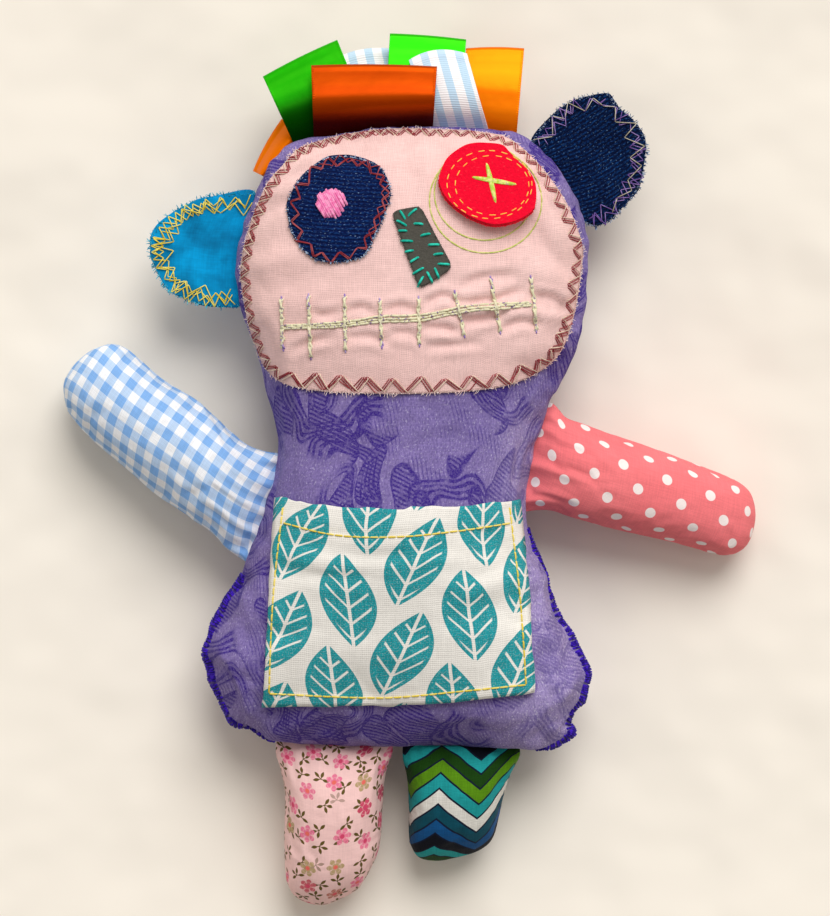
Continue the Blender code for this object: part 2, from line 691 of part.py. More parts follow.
def seam_line(edge, first_share, second_share, gap):
    """The straight line that clears a stretch of the outline by a gap, and the outward direction."""
    first, second = edge.at(first_share), edge.at(second_share)
    along = (second - first).normalized()
    out = Vector((along.y, -along.x))
    middle = Vector((0, BODY_LENGTH / 2))
    if out.dot(first - middle) < 0:
        out = -out
    steps = [edge.at(blend(first_share, second_share, step / SEAM_STEPS)) for step in range(SEAM_STEPS + 1)]
    bulge = max((point - first).dot(out) for point in steps)
    shift = out * (bulge + gap)
    return first + shift, second + shift


def limb_seam(place):
    """The two ends of the line that a limb is sewn along."""
    (left_low, left_high), (right_high, right_low) = ARM_SEAM_SHARES
    (floral_low, floral_high), (print_low, print_high) = LEG_SEAM_SHARES
    edge, axis, size, low, high = {
        "left": (BODY.left, 1, BODY_LENGTH, left_low, left_high),
        "right": (BODY.right, 1, BODY_LENGTH, right_high, right_low),
        "bottom_left": (BODY.bottom, 0, HIP_WIDTH, floral_high, floral_low),
        "bottom_right": (BODY.bottom, 0, HIP_WIDTH, print_high, print_low),
    }[place]
    return seam_line(edge, edge.share_where(axis, size * low), edge.share_where(axis, size * high), SEAM_GAP)


def limb_sections(limb):
    """Each section: its middle, its two half axes as vectors, from the seam to the tip."""
    _, place, heading, length, root_diameter, tip_diameter, flare, tip, _ = limb
    low, high = limb_seam(place)
    root = (low + high) / 2
    along = Vector((math.cos(heading), math.sin(heading)))
    across = Vector((-along.y, along.x))
    seam_way = (high - low).normalized()
    if seam_way.dot(across) < 0:
        seam_way = -seam_way
    drop = (SEAM_HEIGHT - tip_diameter / 2 - LIMB_FLOOR_GAP) / (length - tip)
    level = math.sqrt(1 - drop**2)
    forward = Vector((along.x * level, along.y * level, -drop))
    stations = [flare * share for share in LIMB_FLARE_SHARES]
    stations += [length - tip + tip * share for share in LIMB_ROUND_SHARES]
    stations = sorted(set(stations))
    sections = []
    for station in stations:
        radius = blend(root_diameter, tip_diameter, station / length) / 2
        past = max(station - (length - tip), 0) / tip
        closing = math.sqrt(1 - past**2)
        opening = math.sin(math.pi / 2 * min(station / flare, 1))
        half_height = blend(LIMB_ROOT_THICKNESS / 2, radius, opening) * closing
        half_width = blend((high - low).length / 2, radius, smooth(station / flare)) * closing
        way = seam_way.lerp(across, smooth(station / flare)).normalized().to_3d()
        rise = forward.cross(way)
        rise = rise.normalized() * (1 if rise.z > 0 else -1)
        middle = Vector((root.x, root.y, SEAM_HEIGHT)) + forward * station
        sections.append((middle, way, half_width, rise, half_height))
    return sections


def tube(sections, inset, wall):
    """A tube over the sections, closed at its tip: a wall with its root open, or solid where wall is 0."""
    bm = bmesh.new()
    rows = len(sections) - 1
    bmesh.ops.create_grid(bm, x_segments=LIMB_SIDES, y_segments=rows, size=0.5)
    for vert in bm.verts:
        angle = 2 * math.pi * (vert.co.x + 0.5)
        vert.co = (math.cos(angle), math.sin(angle), (vert.co.y + 0.5) * rows)
    bmesh.ops.remove_doubles(bm, verts=bm.verts, dist=MERGE_SHARE)
    ends = (rows,) if wall else (0, rows)
    for end in ends:
        ring = [edge for edge in bm.edges if all(abs(vert.co.z - end) < 0.5 for vert in edge.verts)]
        bmesh.ops.contextual_create(bm, geom=ring)
    inner = set()
    if wall:
        grown = bmesh.ops.extrude_face_region(bm, geom=bm.faces[:])["geom"]
        inner = {part for part in grown if isinstance(part, bmesh.types.BMVert)}
    for vert in bm.verts:
        middle, way, half_width, rise, half_height = sections[round(vert.co.z)]
        taken = inset + (wall if vert in inner else 0)
        back = (sections[-1][0] - sections[-2][0]).normalized() * (taken if round(vert.co.z) == rows else 0)
        place = middle - back
        place = place + way * (vert.co.x * (half_width - taken))
        vert.co = place + rise * (vert.co.y * (half_height - taken))
    return bm


def add_limbs(parent):
    for limb in LIMBS:
        name, color = limb[0], limb[-1]
        low, high = limb_seam(limb[1])
        sections = limb_sections(limb)
        forward = (sections[-1][0] - sections[0][0]).normalized()
        axis = (high - low).to_3d().normalized()
        if axis.cross(forward).z < 0:
            axis = -axis
        pivot = add_pivot(name + "_hinge", sections[0][0], axis, parent)
        add_mesh(name + "_cover", tube(sections, 0, CLOTH), color, pivot)
        filling = tube(sections[1:], CLOTH + CLEARANCE, 0)
        add_mesh(name + "_stuffing", filling, FIBRE_WHITE, pivot)


def seam_side(edge, first_share, second_share, gap, out):
    """Plan points along the outline between two shares, kept off it by a gap."""
    points = []
    for step in range(EAR_SEAM_STEPS + 1):
        share = blend(first_share, second_share, step / EAR_SEAM_STEPS)
        along = edge.heading(share)
        points.append(edge.at(share) + Vector((along.y, -along.x)) * out * gap)
    return points


def add_ear(name, curve, seam, side_name, color, thread_color, parent):
    """Two layers of cloth cut to one outline, whose inner side follows the seam."""
    outer = Outline(curve, (0, 1, 2, 3))
    stop = round((len(curve) - 1) / len(curve) * (len(outer.border.points) - 1))
    outline = outer.border.points[:stop] + seam
    first, second = seam[0], seam[-1]
    axis = (second - first).to_3d().normalized()
    middle = (first + second) / 2
    away = sum(curve, Vector((0, 0))) / len(curve) - middle
    if axis.cross(away.to_3d()).z < 0:
        axis = -axis
    reach = max((point - first).dot(away.normalized()) for point in seam)
    place = middle + away.normalized() * (reach / 2)
    pivot = add_pivot(side_name, Vector((place.x, place.y, SEAM_HEIGHT)), axis, parent)
    layers = (("_front", CLEARANCE / 2), ("_back", -CLEARANCE / 2 - EAR_CLOTH))
    for suffix, low in layers:
        bm = bmesh.new()
        face = bm.faces.new([bm.verts.new((*point, SEAM_HEIGHT + low)) for point in outline])
        grown = bmesh.ops.extrude_face_region(bm, geom=[face])["geom"]
        upper = [part for part in grown if isinstance(part, bmesh.types.BMVert)]
        bmesh.ops.translate(bm, verts=upper, vec=UP * EAR_CLOTH)
        add_mesh(name + suffix, bm, color, pivot)
    rise = SEAM_HEIGHT + CLEARANCE / 2 + EAR_CLOTH + CLEARANCE + THREAD_RADIUS
    path = Edge(outer.border.points[:stop])
    turns = 2 * round(path.length / EAR_ZIGZAG_PITCH)
    points = []
    for index in range(3, turns - 2):
        share = index / turns
        along = path.heading(share)
        inward = Vector((-along.y, along.x))
        if inward.dot(away) > 0 and (path.at(share) - middle).dot(away) > away.length_squared:
            inward = -inward
        inset = EAR_ZIGZAG_NEAR if index % 2 else EAR_ZIGZAG_FAR
        spot = path.at(share) + inward * inset
        points.append(Vector((spot.x, spot.y, rise)))
    add_thread(name + "_stitching", points, THREAD_RADIUS, thread_color, pivot)


def add_ears(parent):
    low, high = (BODY.left.share_where(1, BODY_LENGTH * share) for share in TURQUOISE_EAR_SEAM_SHARES)
    seam = seam_side(BODY.left, low, high, SEAM_GAP, -1)
    reach = min(point.x for point in seam)
    curve = [
        Vector((reach - TURQUOISE_EAR_LENGTH * out, BODY_LENGTH * up)) for out, up in TURQUOISE_EAR_SHARES
    ]
    add_ear("turquoise_ear", curve, seam, "turquoise_ear_hinge", TURQUOISE, YELLOW, parent)

    low, high = (BODY.right.share_where(1, BODY_LENGTH * share) for share in DENIM_EAR_SEAM_SHARES)
    seam = seam_side(BODY.right, high, low, SEAM_GAP, 1)
    along = (seam[0] - seam[-1]).normalized()
    away = Vector((along.y, -along.x))
    reach = max((point - seam[0]).dot(away) for point in seam)
    base = (seam[0] + seam[-1]) / 2 + away * reach
    curve = []
    for out, side in DENIM_EAR_SHARES:
        curve.append(base + away * (DENIM_EAR_LENGTH * out) + along * (DENIM_EAR_WIDTH * side))
    add_ear("denim_ear", curve, seam, "denim_ear_hinge", DARK_DENIM, LILAC, parent)


def loop_profile(length):
    """Along the ribbon from its front root, round the fold and back: (away from the seam, half gape)."""
    turn = LOOP_THICKNESS / 2
    straight = length - turn
    root = LOOP_ROOT_THICKNESS / 2
    rows = []
    for share in LOOP_STRAIGHT_SHARES:
        rows.append((straight * share, blend(root, turn, smooth(share * LOOP_OPENING_PACE))))
    for step in range(1, LOOP_TURN_STEPS):
        angle = math.pi / 2 - math.pi * step / LOOP_TURN_STEPS
        rows.append((straight + turn * math.cos(angle), turn * math.sin(angle)))
    rows += [(away, -gape) for away, gape in reversed(rows[: len(LOOP_STRAIGHT_SHARES)])]
    return rows


def seam_reach(root, forward, across, offset):
    """How far the outline reaches forward of a place, along the line at an offset across from it."""
    found = []
    for first, second in zip(BODY.border.points, BODY.border.points[1:]):
        low, high = (first - root).dot(across), (second - root).dot(across)
        if min(low, high) <= offset < max(low, high):
            found.append((first.lerp(second, (offset - low) / (high - low)) - root).dot(forward))
    return max(found)


def add_ribbon_loop(name, middle_share, lean, width, length, layer, color, parent):
    """A ribbon folded over, whose two ends lie along the top seam and whose fold is straight."""
    forward = Vector((-math.sin(lean), math.cos(lean)))
    across = Vector((forward.y, -forward.x))
    root = BODY.top.at(BODY.top.share_where(0, HEAD_WIDTH * middle_share))
    shares = [column / LOOP_COLUMNS - 0.5 for column in range(LOOP_COLUMNS + 1)]
    starts = [seam_reach(root, forward, across, width * share) + LOOP_SEAM_GAP for share in shares]
    if name in SPRUNG_LOOPS:
        seam = root + forward * min(starts)
        place = Vector((seam.x, seam.y, SEAM_HEIGHT + LAYER_ROOT_STEP * layer))
        parent = add_pivot(name + "_hinge", place, across.to_3d(), parent)
    profile = loop_profile(length)
    rows = len(profile) - 1
    bm = bmesh.new()
    bmesh.ops.create_grid(bm, x_segments=LOOP_COLUMNS, y_segments=rows, size=0.5)
    grown = bmesh.ops.extrude_face_region(bm, geom=bm.faces[:])["geom"]
    inner = {part for part in grown if isinstance(part, bmesh.types.BMVert)}
    for vert in bm.verts:
        row = round((vert.co.y + 0.5) * rows)
        away, gape = profile[row]
        if vert in inner:
            before, after = profile[max(row - 1, 0)], profile[min(row + 1, rows)]
            slope = Vector((after[0] - before[0], after[1] - before[1])).normalized()
            away, gape = away + slope.y * RIBBON, gape - slope.x * RIBBON
        rise = blend(LAYER_ROOT_STEP, LAYER_STEP, smooth(away / LAYER_FAN)) * layer
        start = starts[round((vert.co.x + 0.5) * LOOP_COLUMNS)]
        out = blend(start, max(starts) + length, away / length)
        plan = root + forward * out + across * (width * vert.co.x)
        vert.co = (plan.x, plan.y, SEAM_HEIGHT + rise + gape)
    add_mesh(name, bm, color, parent)


def centre_on_origin(doll):
    """Puts the middle of the doll's bounding box over the origin."""
    bpy.context.view_layer.update()
    graph = bpy.context.evaluated_depsgraph_get()
    spots = []
    for obj in bpy.data.objects:
        if obj.type != "EMPTY":
            found = obj.evaluated_get(graph)
            spots += [found.matrix_world @ vert.co for vert in found.to_mesh().vertices]
            found.to_mesh_clear()
    for axis in (0, 1):
        values = [spot[axis] for spot in spots]
        doll.location[axis] = -(min(values) + max(values)) / 2
    bpy.context.view_layer.update()


def main():
    clear_scene()
    doll = bpy.data.objects.new("doll", None)
    bpy.context.scene.collection.objects.link(doll)
    bpy.context.view_layer.update()
    add_body(doll)
    add_face(doll)
    add_pocket(doll)
    add_whip_stitching(doll)
    add_limbs(doll)
    add_ears(doll)
    for loop in RIBBON_LOOPS:
        add_ribbon_loop(*loop, doll)
    centre_on_origin(doll)


main()
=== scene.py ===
"""The looks of a handmade rag doll that lies on its back on a white sheet.

The row frame is in metres, +Z up. Tables of places are in millimetres: X across the doll, Y from the legs
to the head, as they show from the camera at the height of PLANE.
"""

import math
import random
from functools import partial

import bmesh
import bpy
import numpy as np
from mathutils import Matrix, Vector
from mathutils.bvhtree import BVHTree


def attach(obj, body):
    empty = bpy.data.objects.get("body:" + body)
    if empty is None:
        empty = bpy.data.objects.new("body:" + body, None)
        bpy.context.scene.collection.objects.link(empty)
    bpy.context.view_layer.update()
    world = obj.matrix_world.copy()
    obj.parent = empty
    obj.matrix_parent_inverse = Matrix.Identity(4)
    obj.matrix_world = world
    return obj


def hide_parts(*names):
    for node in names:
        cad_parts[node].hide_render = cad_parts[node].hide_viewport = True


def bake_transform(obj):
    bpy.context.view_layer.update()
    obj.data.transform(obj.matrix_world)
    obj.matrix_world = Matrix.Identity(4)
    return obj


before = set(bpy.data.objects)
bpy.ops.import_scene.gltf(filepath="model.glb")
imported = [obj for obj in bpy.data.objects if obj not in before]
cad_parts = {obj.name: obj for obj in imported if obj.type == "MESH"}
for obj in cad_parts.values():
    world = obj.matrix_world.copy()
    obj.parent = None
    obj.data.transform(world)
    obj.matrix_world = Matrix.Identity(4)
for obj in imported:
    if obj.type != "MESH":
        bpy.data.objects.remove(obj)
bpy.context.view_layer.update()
scene = bpy.context.scene
MM = 0.001

# The camera looks straight down on the doll, which leans a little in the picture.
# The lens is long, so the limbs at the edges of the picture are seen from almost straight above too.
PLANE = 27
LEAN = math.radians(2.318)
MIDDLE = (3.28, 4.58)
DISTANCE = 1200
PICTURE_HEIGHT = 279.4
EYE = Vector((MIDDLE[0], MIDDLE[1], PLANE + DISTANCE)) * MM

camera = bpy.data.objects.new("camera", bpy.data.cameras.new("camera"))
scene.collection.objects.link(camera)
camera.location = EYE
camera.rotation_euler = (0, 0, LEAN)
camera.data.lens = camera.data.sensor_width * DISTANCE / PICTURE_HEIGHT
camera.data.clip_start = 0.05
camera.data.clip_end = 20
scene.camera = camera

# Soft window light comes from beyond the head and a little from the right.
# The pale room is brighter there too.
ROOM_LEVEL = 0.52
ROOM_SLANT = 0.36
scene.view_settings.view_transform = "Standard"
room = bpy.data.worlds.new("pale_room")
room.use_nodes = True
parts = room.node_tree.nodes
sky = parts["Background"]
sky.inputs["Color"].default_value = (1.0, 0.955, 0.895, 1)
ways = parts.new("ShaderNodeSeparateXYZ")
level = parts.new("ShaderNodeMath")
level.operation = "MULTIPLY_ADD"
level.inputs[1].default_value, level.inputs[2].default_value = ROOM_SLANT, ROOM_LEVEL
room.node_tree.links.new(parts.new("ShaderNodeTexCoord").outputs["Generated"], ways.inputs[0])
room.node_tree.links.new(ways.outputs["Y"], level.inputs[0])
room.node_tree.links.new(level.outputs[0], sky.inputs["Strength"])
scene.world = room
window = bpy.data.objects.new("window", bpy.data.lights.new("window", "SUN"))
window.data.energy = 2.3
window.data.angle = math.radians(38)
window.data.color = (1.0, 0.995, 0.985)
window.rotation_euler = Vector((0.20, 0.80, 1.0)).to_track_quat("Z", "Y").to_euler()
scene.collection.objects.link(window)


class Value:
    """A number, place or colour that a finish works out. Numbers can be reckoned with like plain ones."""

    def __init__(self, finish, socket):
        self.finish = finish
        self.socket = socket

    def __add__(self, other):
        return self.finish.maths("ADD", self, other)

    def __sub__(self, other):
        return self.finish.maths("SUBTRACT", self, other)

    def __rsub__(self, other):
        return self.finish.maths("SUBTRACT", other, self)

    def __mul__(self, other):
        return self.finish.maths("MULTIPLY", self, other)

    def __truediv__(self, other):
        return self.finish.maths("DIVIDE", self, other)

    def __pow__(self, other):
        return self.finish.maths("POWER", self, other)

    def __abs__(self):
        return self.finish.maths("ABSOLUTE", self)

    __radd__, __rmul__ = __add__, __mul__


class Finish:
    """A cloth or thread finish, built up node by node. Pattern places are in millimetres."""

    def __init__(self, name, roughness=0.85, sheen=0.04):
        self.material = bpy.data.materials.new(name)
        self.material.use_nodes = True
        self.nodes = self.material.node_tree.nodes
        self.links = self.material.node_tree.links
        self.shader = self.nodes["Principled BSDF"]
        self.shader.inputs["Roughness"].default_value = roughness
        self.shader.inputs["Sheen Weight"].default_value = sheen
        self.shader.inputs["Sheen Roughness"].default_value = 0.45
        self.shader.inputs["Specular IOR Level"].default_value = 0.1
        self.height = None

    def feed(self, socket, value):
        if isinstance(value, Value):
            self.links.new(value.socket, socket)
        elif isinstance(value, tuple) and socket.type == "RGBA":
            socket.default_value = (*value, 1)
        else:
            socket.default_value = value

    def node(self, kind, inputs=None, **settings):
        made = self.nodes.new(kind)
        for key, value in settings.items():
            setattr(made, key, value)
        for key, value in (inputs or {}).items():
            self.feed(made.inputs[key], value)
        return made

    def value(self, kind, inputs=None, output=0, **settings):
        return Value(self, self.node(kind, inputs, **settings).outputs[output])

    def maths(self, operation, *values):
        return self.value("ShaderNodeMath", dict(enumerate(values)), operation=operation)

    def vectors(self, operation, *values):
        return self.value("ShaderNodeVectorMath", dict(enumerate(values)), operation=operation)

    def turned(self, place, angle):
        """Places turned about the middle of a flat pattern."""
        inputs = {"Vector": place, "Angle": angle}
        return self.value("ShaderNodeVectorRotate", inputs, rotation_type="Z_AXIS")

    def split(self, place):
        """The parts of a place or a colour."""
        found = self.node("ShaderNodeSeparateXYZ", {0: place})
        return [Value(self, socket) for socket in found.outputs]

    def mix(self, share, low, high, blend="MIX"):
        return self.value(
            "ShaderNodeMix", {0: share, 6: low, 7: high}, 2, data_type="RGBA", blend_type=blend
        )

    def tinted(self, color, tint):
        return self.mix(1.0, color, tint, "MULTIPLY")

    def step(self, value, low, high):
        """0 below low, 1 above high, eased between them."""
        inputs = {"Value": value, "From Min": low, "From Max": high}
        return self.value("ShaderNodeMapRange", inputs, interpolation_type="SMOOTHSTEP")

    def pattern(self):
        """The flat cloth's two directions, in millimetres."""
        return self.split(self.value("ShaderNodeUVMap", uv_map="pattern"))[:2]

    def solid_place(self):
        """Places in space, in millimetres."""
        return self.vectors(
            "MULTIPLY", self.value("ShaderNodeTexCoord", None, "Object"), (1 / MM, 1 / MM, 1 / MM)
        )

    def join(self, x, y, z=0.0):
        return self.value("ShaderNodeCombineXYZ", {0: x, 1: y, 2: z})

    def noise(self, place, size, detail=2.0, rough=0.5):
        """Cloudy values from 0 to 1, with clouds of about that size in millimetres."""
        inputs = {"Vector": place, "Scale": 1 / size, "Detail": detail, "Roughness": rough}
        return self.value("ShaderNodeTexNoise", inputs)

    def cells(self, place, size, strewn=1.0):
        """Cells of about that size in millimetres, from evenly laid to strewn."""
        inputs = {"Vector": place, "Scale": 1 / size, "Randomness": strewn}
        return self.node("ShaderNodeTexVoronoi", inputs, voronoi_dimensions="2D")

    def from_middle(self, place, size):
        """How far each place is from the middle of its cell, in millimetres."""
        return Value(self, self.cells(place, size).outputs["Distance"]) * float(size)

    def raise_by(self, height, depth):
        """Adds relief, in millimetres."""
        height = height * depth
        self.height = height if self.height is None else self.height + height

    def weave(self, pitch, depth, color, gap):
        """Plain weave: relief, and painted shade in the gaps between the threads. Gives back the shaded
        colour.
        """
        x, y = self.pattern()
        wander = self.noise(self.join(x, y), 6.0, 3.0) * (pitch * 1.4)
        x = (x + wander) * (math.pi / pitch)
        y = (y + wander) * (math.pi / pitch)
        warp, weft = self.maths("SINE", x), self.maths("SINE", y)
        over = warp * weft * 0.3
        warp = abs(warp) * (0.7 + over)
        weft = abs(weft) * (0.7 - over)
        top = self.maths("MAXIMUM", warp, weft)
        self.raise_by(top, depth)
        # Painted shade darkens the gaps between the threads.
        return self.mix(self.step(top, 0.1, 0.75), self.tinted(color, (gap, gap, gap)), color)

    def slubs(self, color, amount, pitch):
        """Threads that run a little lighter or darker than their neighbours, both ways."""
        x, y = self.pattern()
        low = 1 - amount
        for along, across in ((x, y), (y, x)):
            place = self.join(along * 0.06, across)
            streak = self.step(self.noise(place, pitch, 1.0), 0.3, 0.7)
            color = self.mix(streak, self.tinted(color, (low, low, low)), color)
        return color

    def crumple(self, depth, size):
        """Small soft creases all over."""
        self.raise_by(self.noise(self.solid_place(), size, 3.0, 0.55), depth)

    def done(self, color):
        self.feed(self.shader.inputs["Base Color"], color)
        if self.height is not None:
            inputs = {"Height": self.height * MM, "Distance": 1.0, "Strength": 1.0}
            self.feed(self.shader.inputs["Normal"], self.value("ShaderNodeBump", inputs))
        return self.material


# The sheet under the doll: a plain white cloth with faint soft creases.
# It isn't part of the doll.
SHEET_SIZE = 3.0
bm = bmesh.new()
bmesh.ops.create_grid(bm, x_segments=1, y_segments=1, size=SHEET_SIZE / 2)
floor_mesh = bpy.data.meshes.new("white_sheet")
bm.to_mesh(floor_mesh)
bm.free()
floor = bpy.data.objects.new("white_sheet", floor_mesh)
scene.collection.objects.link(floor)
white = Finish("white_sheet", 0.9, 0.0)
white.raise_by(white.noise(white.solid_place(), 55, 2.0), 5.0)
floor_mesh.materials.append(white.done((0.86, 0.805, 0.72)))


# Body bag: two panels of purple printed cotton, sewn right round the edge and stuffed, with no neck seam.
# The outline is the seam, which lies halfway up the bag, and the cloth puckers all along it.
SEAM = 24
BELLY_DEPTH = 30.5
WAIST_DEPTH = 25.5
HEAD_DEPTH = 28.5
HOLLOW_OF_BACK = 3
SLACK_FILL = 0.75
FILLING_FRAMES = 12
BODY_COLUMNS = 60
BODY_ROWS = 92
BACK_PATTERN_SHIFT = (140, 0)
BODY_BOTTOM = (
    (-50.6, -78.0), (-43.6, -80.6), (-36.5, -84.0), (-13.9, -84.1), (1.9, -83.5), (17.7, -82.8),
    (34.1, -83.2), (43.9, -83.3), (51.2, -81.6),
)
BODY_RIGHT = (
    (55.6, -77.6), (54.5, -72.9), (58.0, -67.4), (59.2, -58.6), (54.0, -47.6), (47.7, -38.2), (44.4, -28.9),
    (40.4, -20.2), (37.1, -10.6), (38.3, 6.1), (41.0, 16.4), (45.9, 28.7), (51.3, 41.4),
    (53.4, 60.9), (53.2, 73.5), (49.9, 85.4),
)
BODY_TOP = (
    (42.0, 95.8), (32.9, 104.0), (22.0, 105.8), (6.2, 105.8), (-13.1, 104.3), (-32.1, 101.5),
    (-39.9, 97.9),
)
BODY_LEFT = (
    (-46.3, 89.4), (-50.4, 78.4), (-52.1, 70.9), (-53.4, 60.3), (-51.2, 46.3), (-46.8, 36.9),
    (-42.3, 23.6), (-39.0, 12.9), (-37.9, 5.3), (-40.9, -11.1), (-47.8, -31.6), (-54.6, -44.6),
    (-59.3, -56.1), (-55.8, -67.1),
)
WHIP_PITCH = 3.1
WHIPPED_TOP = (-32.1, -14.5)
WHIPPED_IN = (37.0, 44.0)
WHIP_SPACING = 0.62


def rounded(points, closed=False, steps=8):
    """A smooth line through the points."""
    points = np.array(points, float)
    count = len(points)
    line = []
    for index in range(count if closed else count - 1):
        near = [index - 1, index, index + 1, index + 2]
        near = [spot % count if closed else min(max(spot, 0), count - 1) for spot in near]
        a, b, c, d = points[near]
        for t in np.arange(steps) / steps:
            bent = 2 * b + (c - a) * t + (2 * a - 5 * b + 4 * c - d) * t**2
            line.append((bent + (3 * b - a - 3 * c + d) * t**3) / 2)
    line.append(points[0] if closed else points[-1])
    return np.array(line)


def lengths(line):
    """How far along the line each of its points is."""
    return np.concatenate([[0], np.cumsum(np.linalg.norm(np.diff(line, axis=0), axis=1))])


def spaced(line, along):
    """Places at those shares of the line's length."""
    line = np.asarray(line, float)
    reach = lengths(line)
    wanted = np.asarray(along) * reach[-1]
    return np.column_stack([np.interp(wanted, reach, line[:, axis]) for axis in range(line.shape[1])])


def shares(count, closeness=0.0):
    """Shares from 0 to 1, which may lie closer together towards both ends."""
    even = np.linspace(0, 1, count + 1)
    return (1 - closeness) * even + closeness * (1 - np.cos(math.pi * even)) / 2


def between(bottom, right, top, left, u, v):
    """Places inside four edges, as [row, column].

    Bottom and top run to the right, left and right run up.
    """
    low, high, west, east = spaced(bottom, u), spaced(top, u), spaced(left, v), spaced(right, v)
    u, v = u[None, :, None], v[:, None, None]
    corners = (1 - v) * ((1 - u) * low[0] + u * low[-1]) + v * ((1 - u) * high[0] + u * high[-1])
    return (1 - u) * west[:, None] + u * east[:, None] + (1 - v) * low[None] + v * high[None] - corners


def split_outline(points, marks, smooth=True):
    """The four edges of a closed outline that runs anticlockwise from its bottom left corner."""
    steps = 8 if smooth else 1
    line = rounded(points, True, steps) if smooth else np.array([*points, points[0]], float)
    cut = [mark * steps for mark in marks]
    bottom, right = line[cut[0] : cut[1] + 1], line[cut[1] : cut[2] + 1]
    top, left = line[cut[2] : cut[3] + 1][::-1], line[cut[3] :][::-1]
    return bottom, right, top, left


def ease(share):
    share = np.clip(share, 0, 1)
    return share * share * (3 - 2 * share)


def flat_pattern(place):
    """The flat cloth's coordinates for places on a sheet: lengths along it from its middle."""
    rows, columns = place.shape[:2]
    across = np.linalg.norm(np.diff(place, axis=1), axis=2)
    along = np.linalg.norm(np.diff(place, axis=0), axis=2)
    x = np.concatenate([np.zeros((rows, 1)), np.cumsum(across, axis=1)], axis=1)
    y = np.concatenate([np.zeros((1, columns)), np.cumsum(along, axis=0)], axis=0)
    return np.stack([x - x[:, columns // 2, None], y - y[rows // 2][None, :]], axis=2)


def laid_out(place, pattern):
    """A bmesh grid with its corners at place[row, column] and the flat pattern kept on it."""
    rows, columns = place.shape[0] - 1, place.shape[1] - 1
    bm = bmesh.new()
    layer = bm.loops.layers.uv.new("pattern")
    bmesh.ops.create_grid(bm, x_segments=columns, y_segments=rows, size=0.5)
    for vert in bm.verts:
        row, column = round((vert.co.y + 0.5) * rows), round((vert.co.x + 0.5) * columns)
        for loop in vert.link_loops:
            loop[layer].uv = pattern[row, column]
        vert.co = place[row, column] * MM
    return bm


def into_object(name, bm, finish, body):
    mesh = bpy.data.meshes.new(name)
    bm.to_mesh(mesh)
    bm.free()
    mesh.materials.append(finish)
    mesh.shade_smooth()
    obj = bpy.data.objects.new(name, mesh)
    scene.collection.objects.link(obj)
    if body:
        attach(obj, body)
    return obj


def read_points(mesh):
    points = np.empty(len(mesh.vertices) * 3)
    mesh.vertices.foreach_get("co", points)
    return points.reshape(-1, 3) / MM


def write_points(mesh, points):
    mesh.vertices.foreach_set("co", (points * MM).ravel())
    mesh.update()


def evened(mesh, values, rounds):
    """Values on the mesh's points, each averaged with its neighbours several times."""
    edges = np.empty(len(mesh.edges) * 2, int)
    mesh.edges.foreach_get("vertices", edges)
    edges = edges.reshape(-1, 2)
    degree = np.bincount(edges.ravel(), minlength=len(values))[:, None]
    for _ in range(rounds):
        total = np.zeros_like(values)
        np.add.at(total, edges[:, 0], values[edges[:, 1]])
        np.add.at(total, edges[:, 1], values[edges[:, 0]])
        values = 0.5 * values + 0.5 * total / degree
    return values


def stuffed(obj, sewn, pressure, slack, rounds, limit):
    """Fills the bag as cloth and gives back the wrinkles that it takes, as a move of each point.

    The bag's broad movement is evened over so many rounds and taken out, and no wrinkle passes the limit.
    """
    start = read_points(obj.data)
    group = obj.vertex_groups.new(name="sewn")
    group.add([int(index) for index in np.flatnonzero(sewn)], 1.0, "REPLACE")
    cloth = obj.modifiers.new("filled", "CLOTH")
    cloth.settings.quality = 5
    cloth.settings.mass = 0.2
    cloth.settings.tension_stiffness = 40
    cloth.settings.compression_stiffness = 40
    cloth.settings.shear_stiffness = 20
    cloth.settings.bending_stiffness = 0.25
    cloth.settings.use_pressure = True
    cloth.settings.uniform_pressure_force = pressure
    cloth.settings.shrink_min = -slack
    cloth.settings.vertex_group_mass = "sewn"
    cloth.settings.effector_weights.gravity = 0
    cloth.point_cache.frame_end = FILLING_FRAMES
    for number in range(1, FILLING_FRAMES + 1):
        scene.frame_set(number)
    graph = bpy.context.evaluated_depsgraph_get()
    found = obj.evaluated_get(graph)
    move = read_points(found.to_mesh()) - start
    found.to_mesh_clear()
    obj.modifiers.remove(cloth)
    obj.vertex_groups.clear()
    scene.frame_set(1)
    move -= evened(obj.data, move, rounds)
    size = np.linalg.norm(move, axis=1, keepdims=True)
    return move * np.minimum(1, limit / np.maximum(size, 1e-9))


body_edges = split_outline(
    BODY_BOTTOM + BODY_RIGHT + BODY_TOP + BODY_LEFT,
    (0, len(BODY_BOTTOM), len(BODY_BOTTOM + BODY_RIGHT), len(BODY_BOTTOM + BODY_RIGHT + BODY_TOP)),
)
body_across, body_up = shares(BODY_COLUMNS, 0.5), shares(BODY_ROWS, 0.35)
body_plan = between(*body_edges, body_across, body_up)


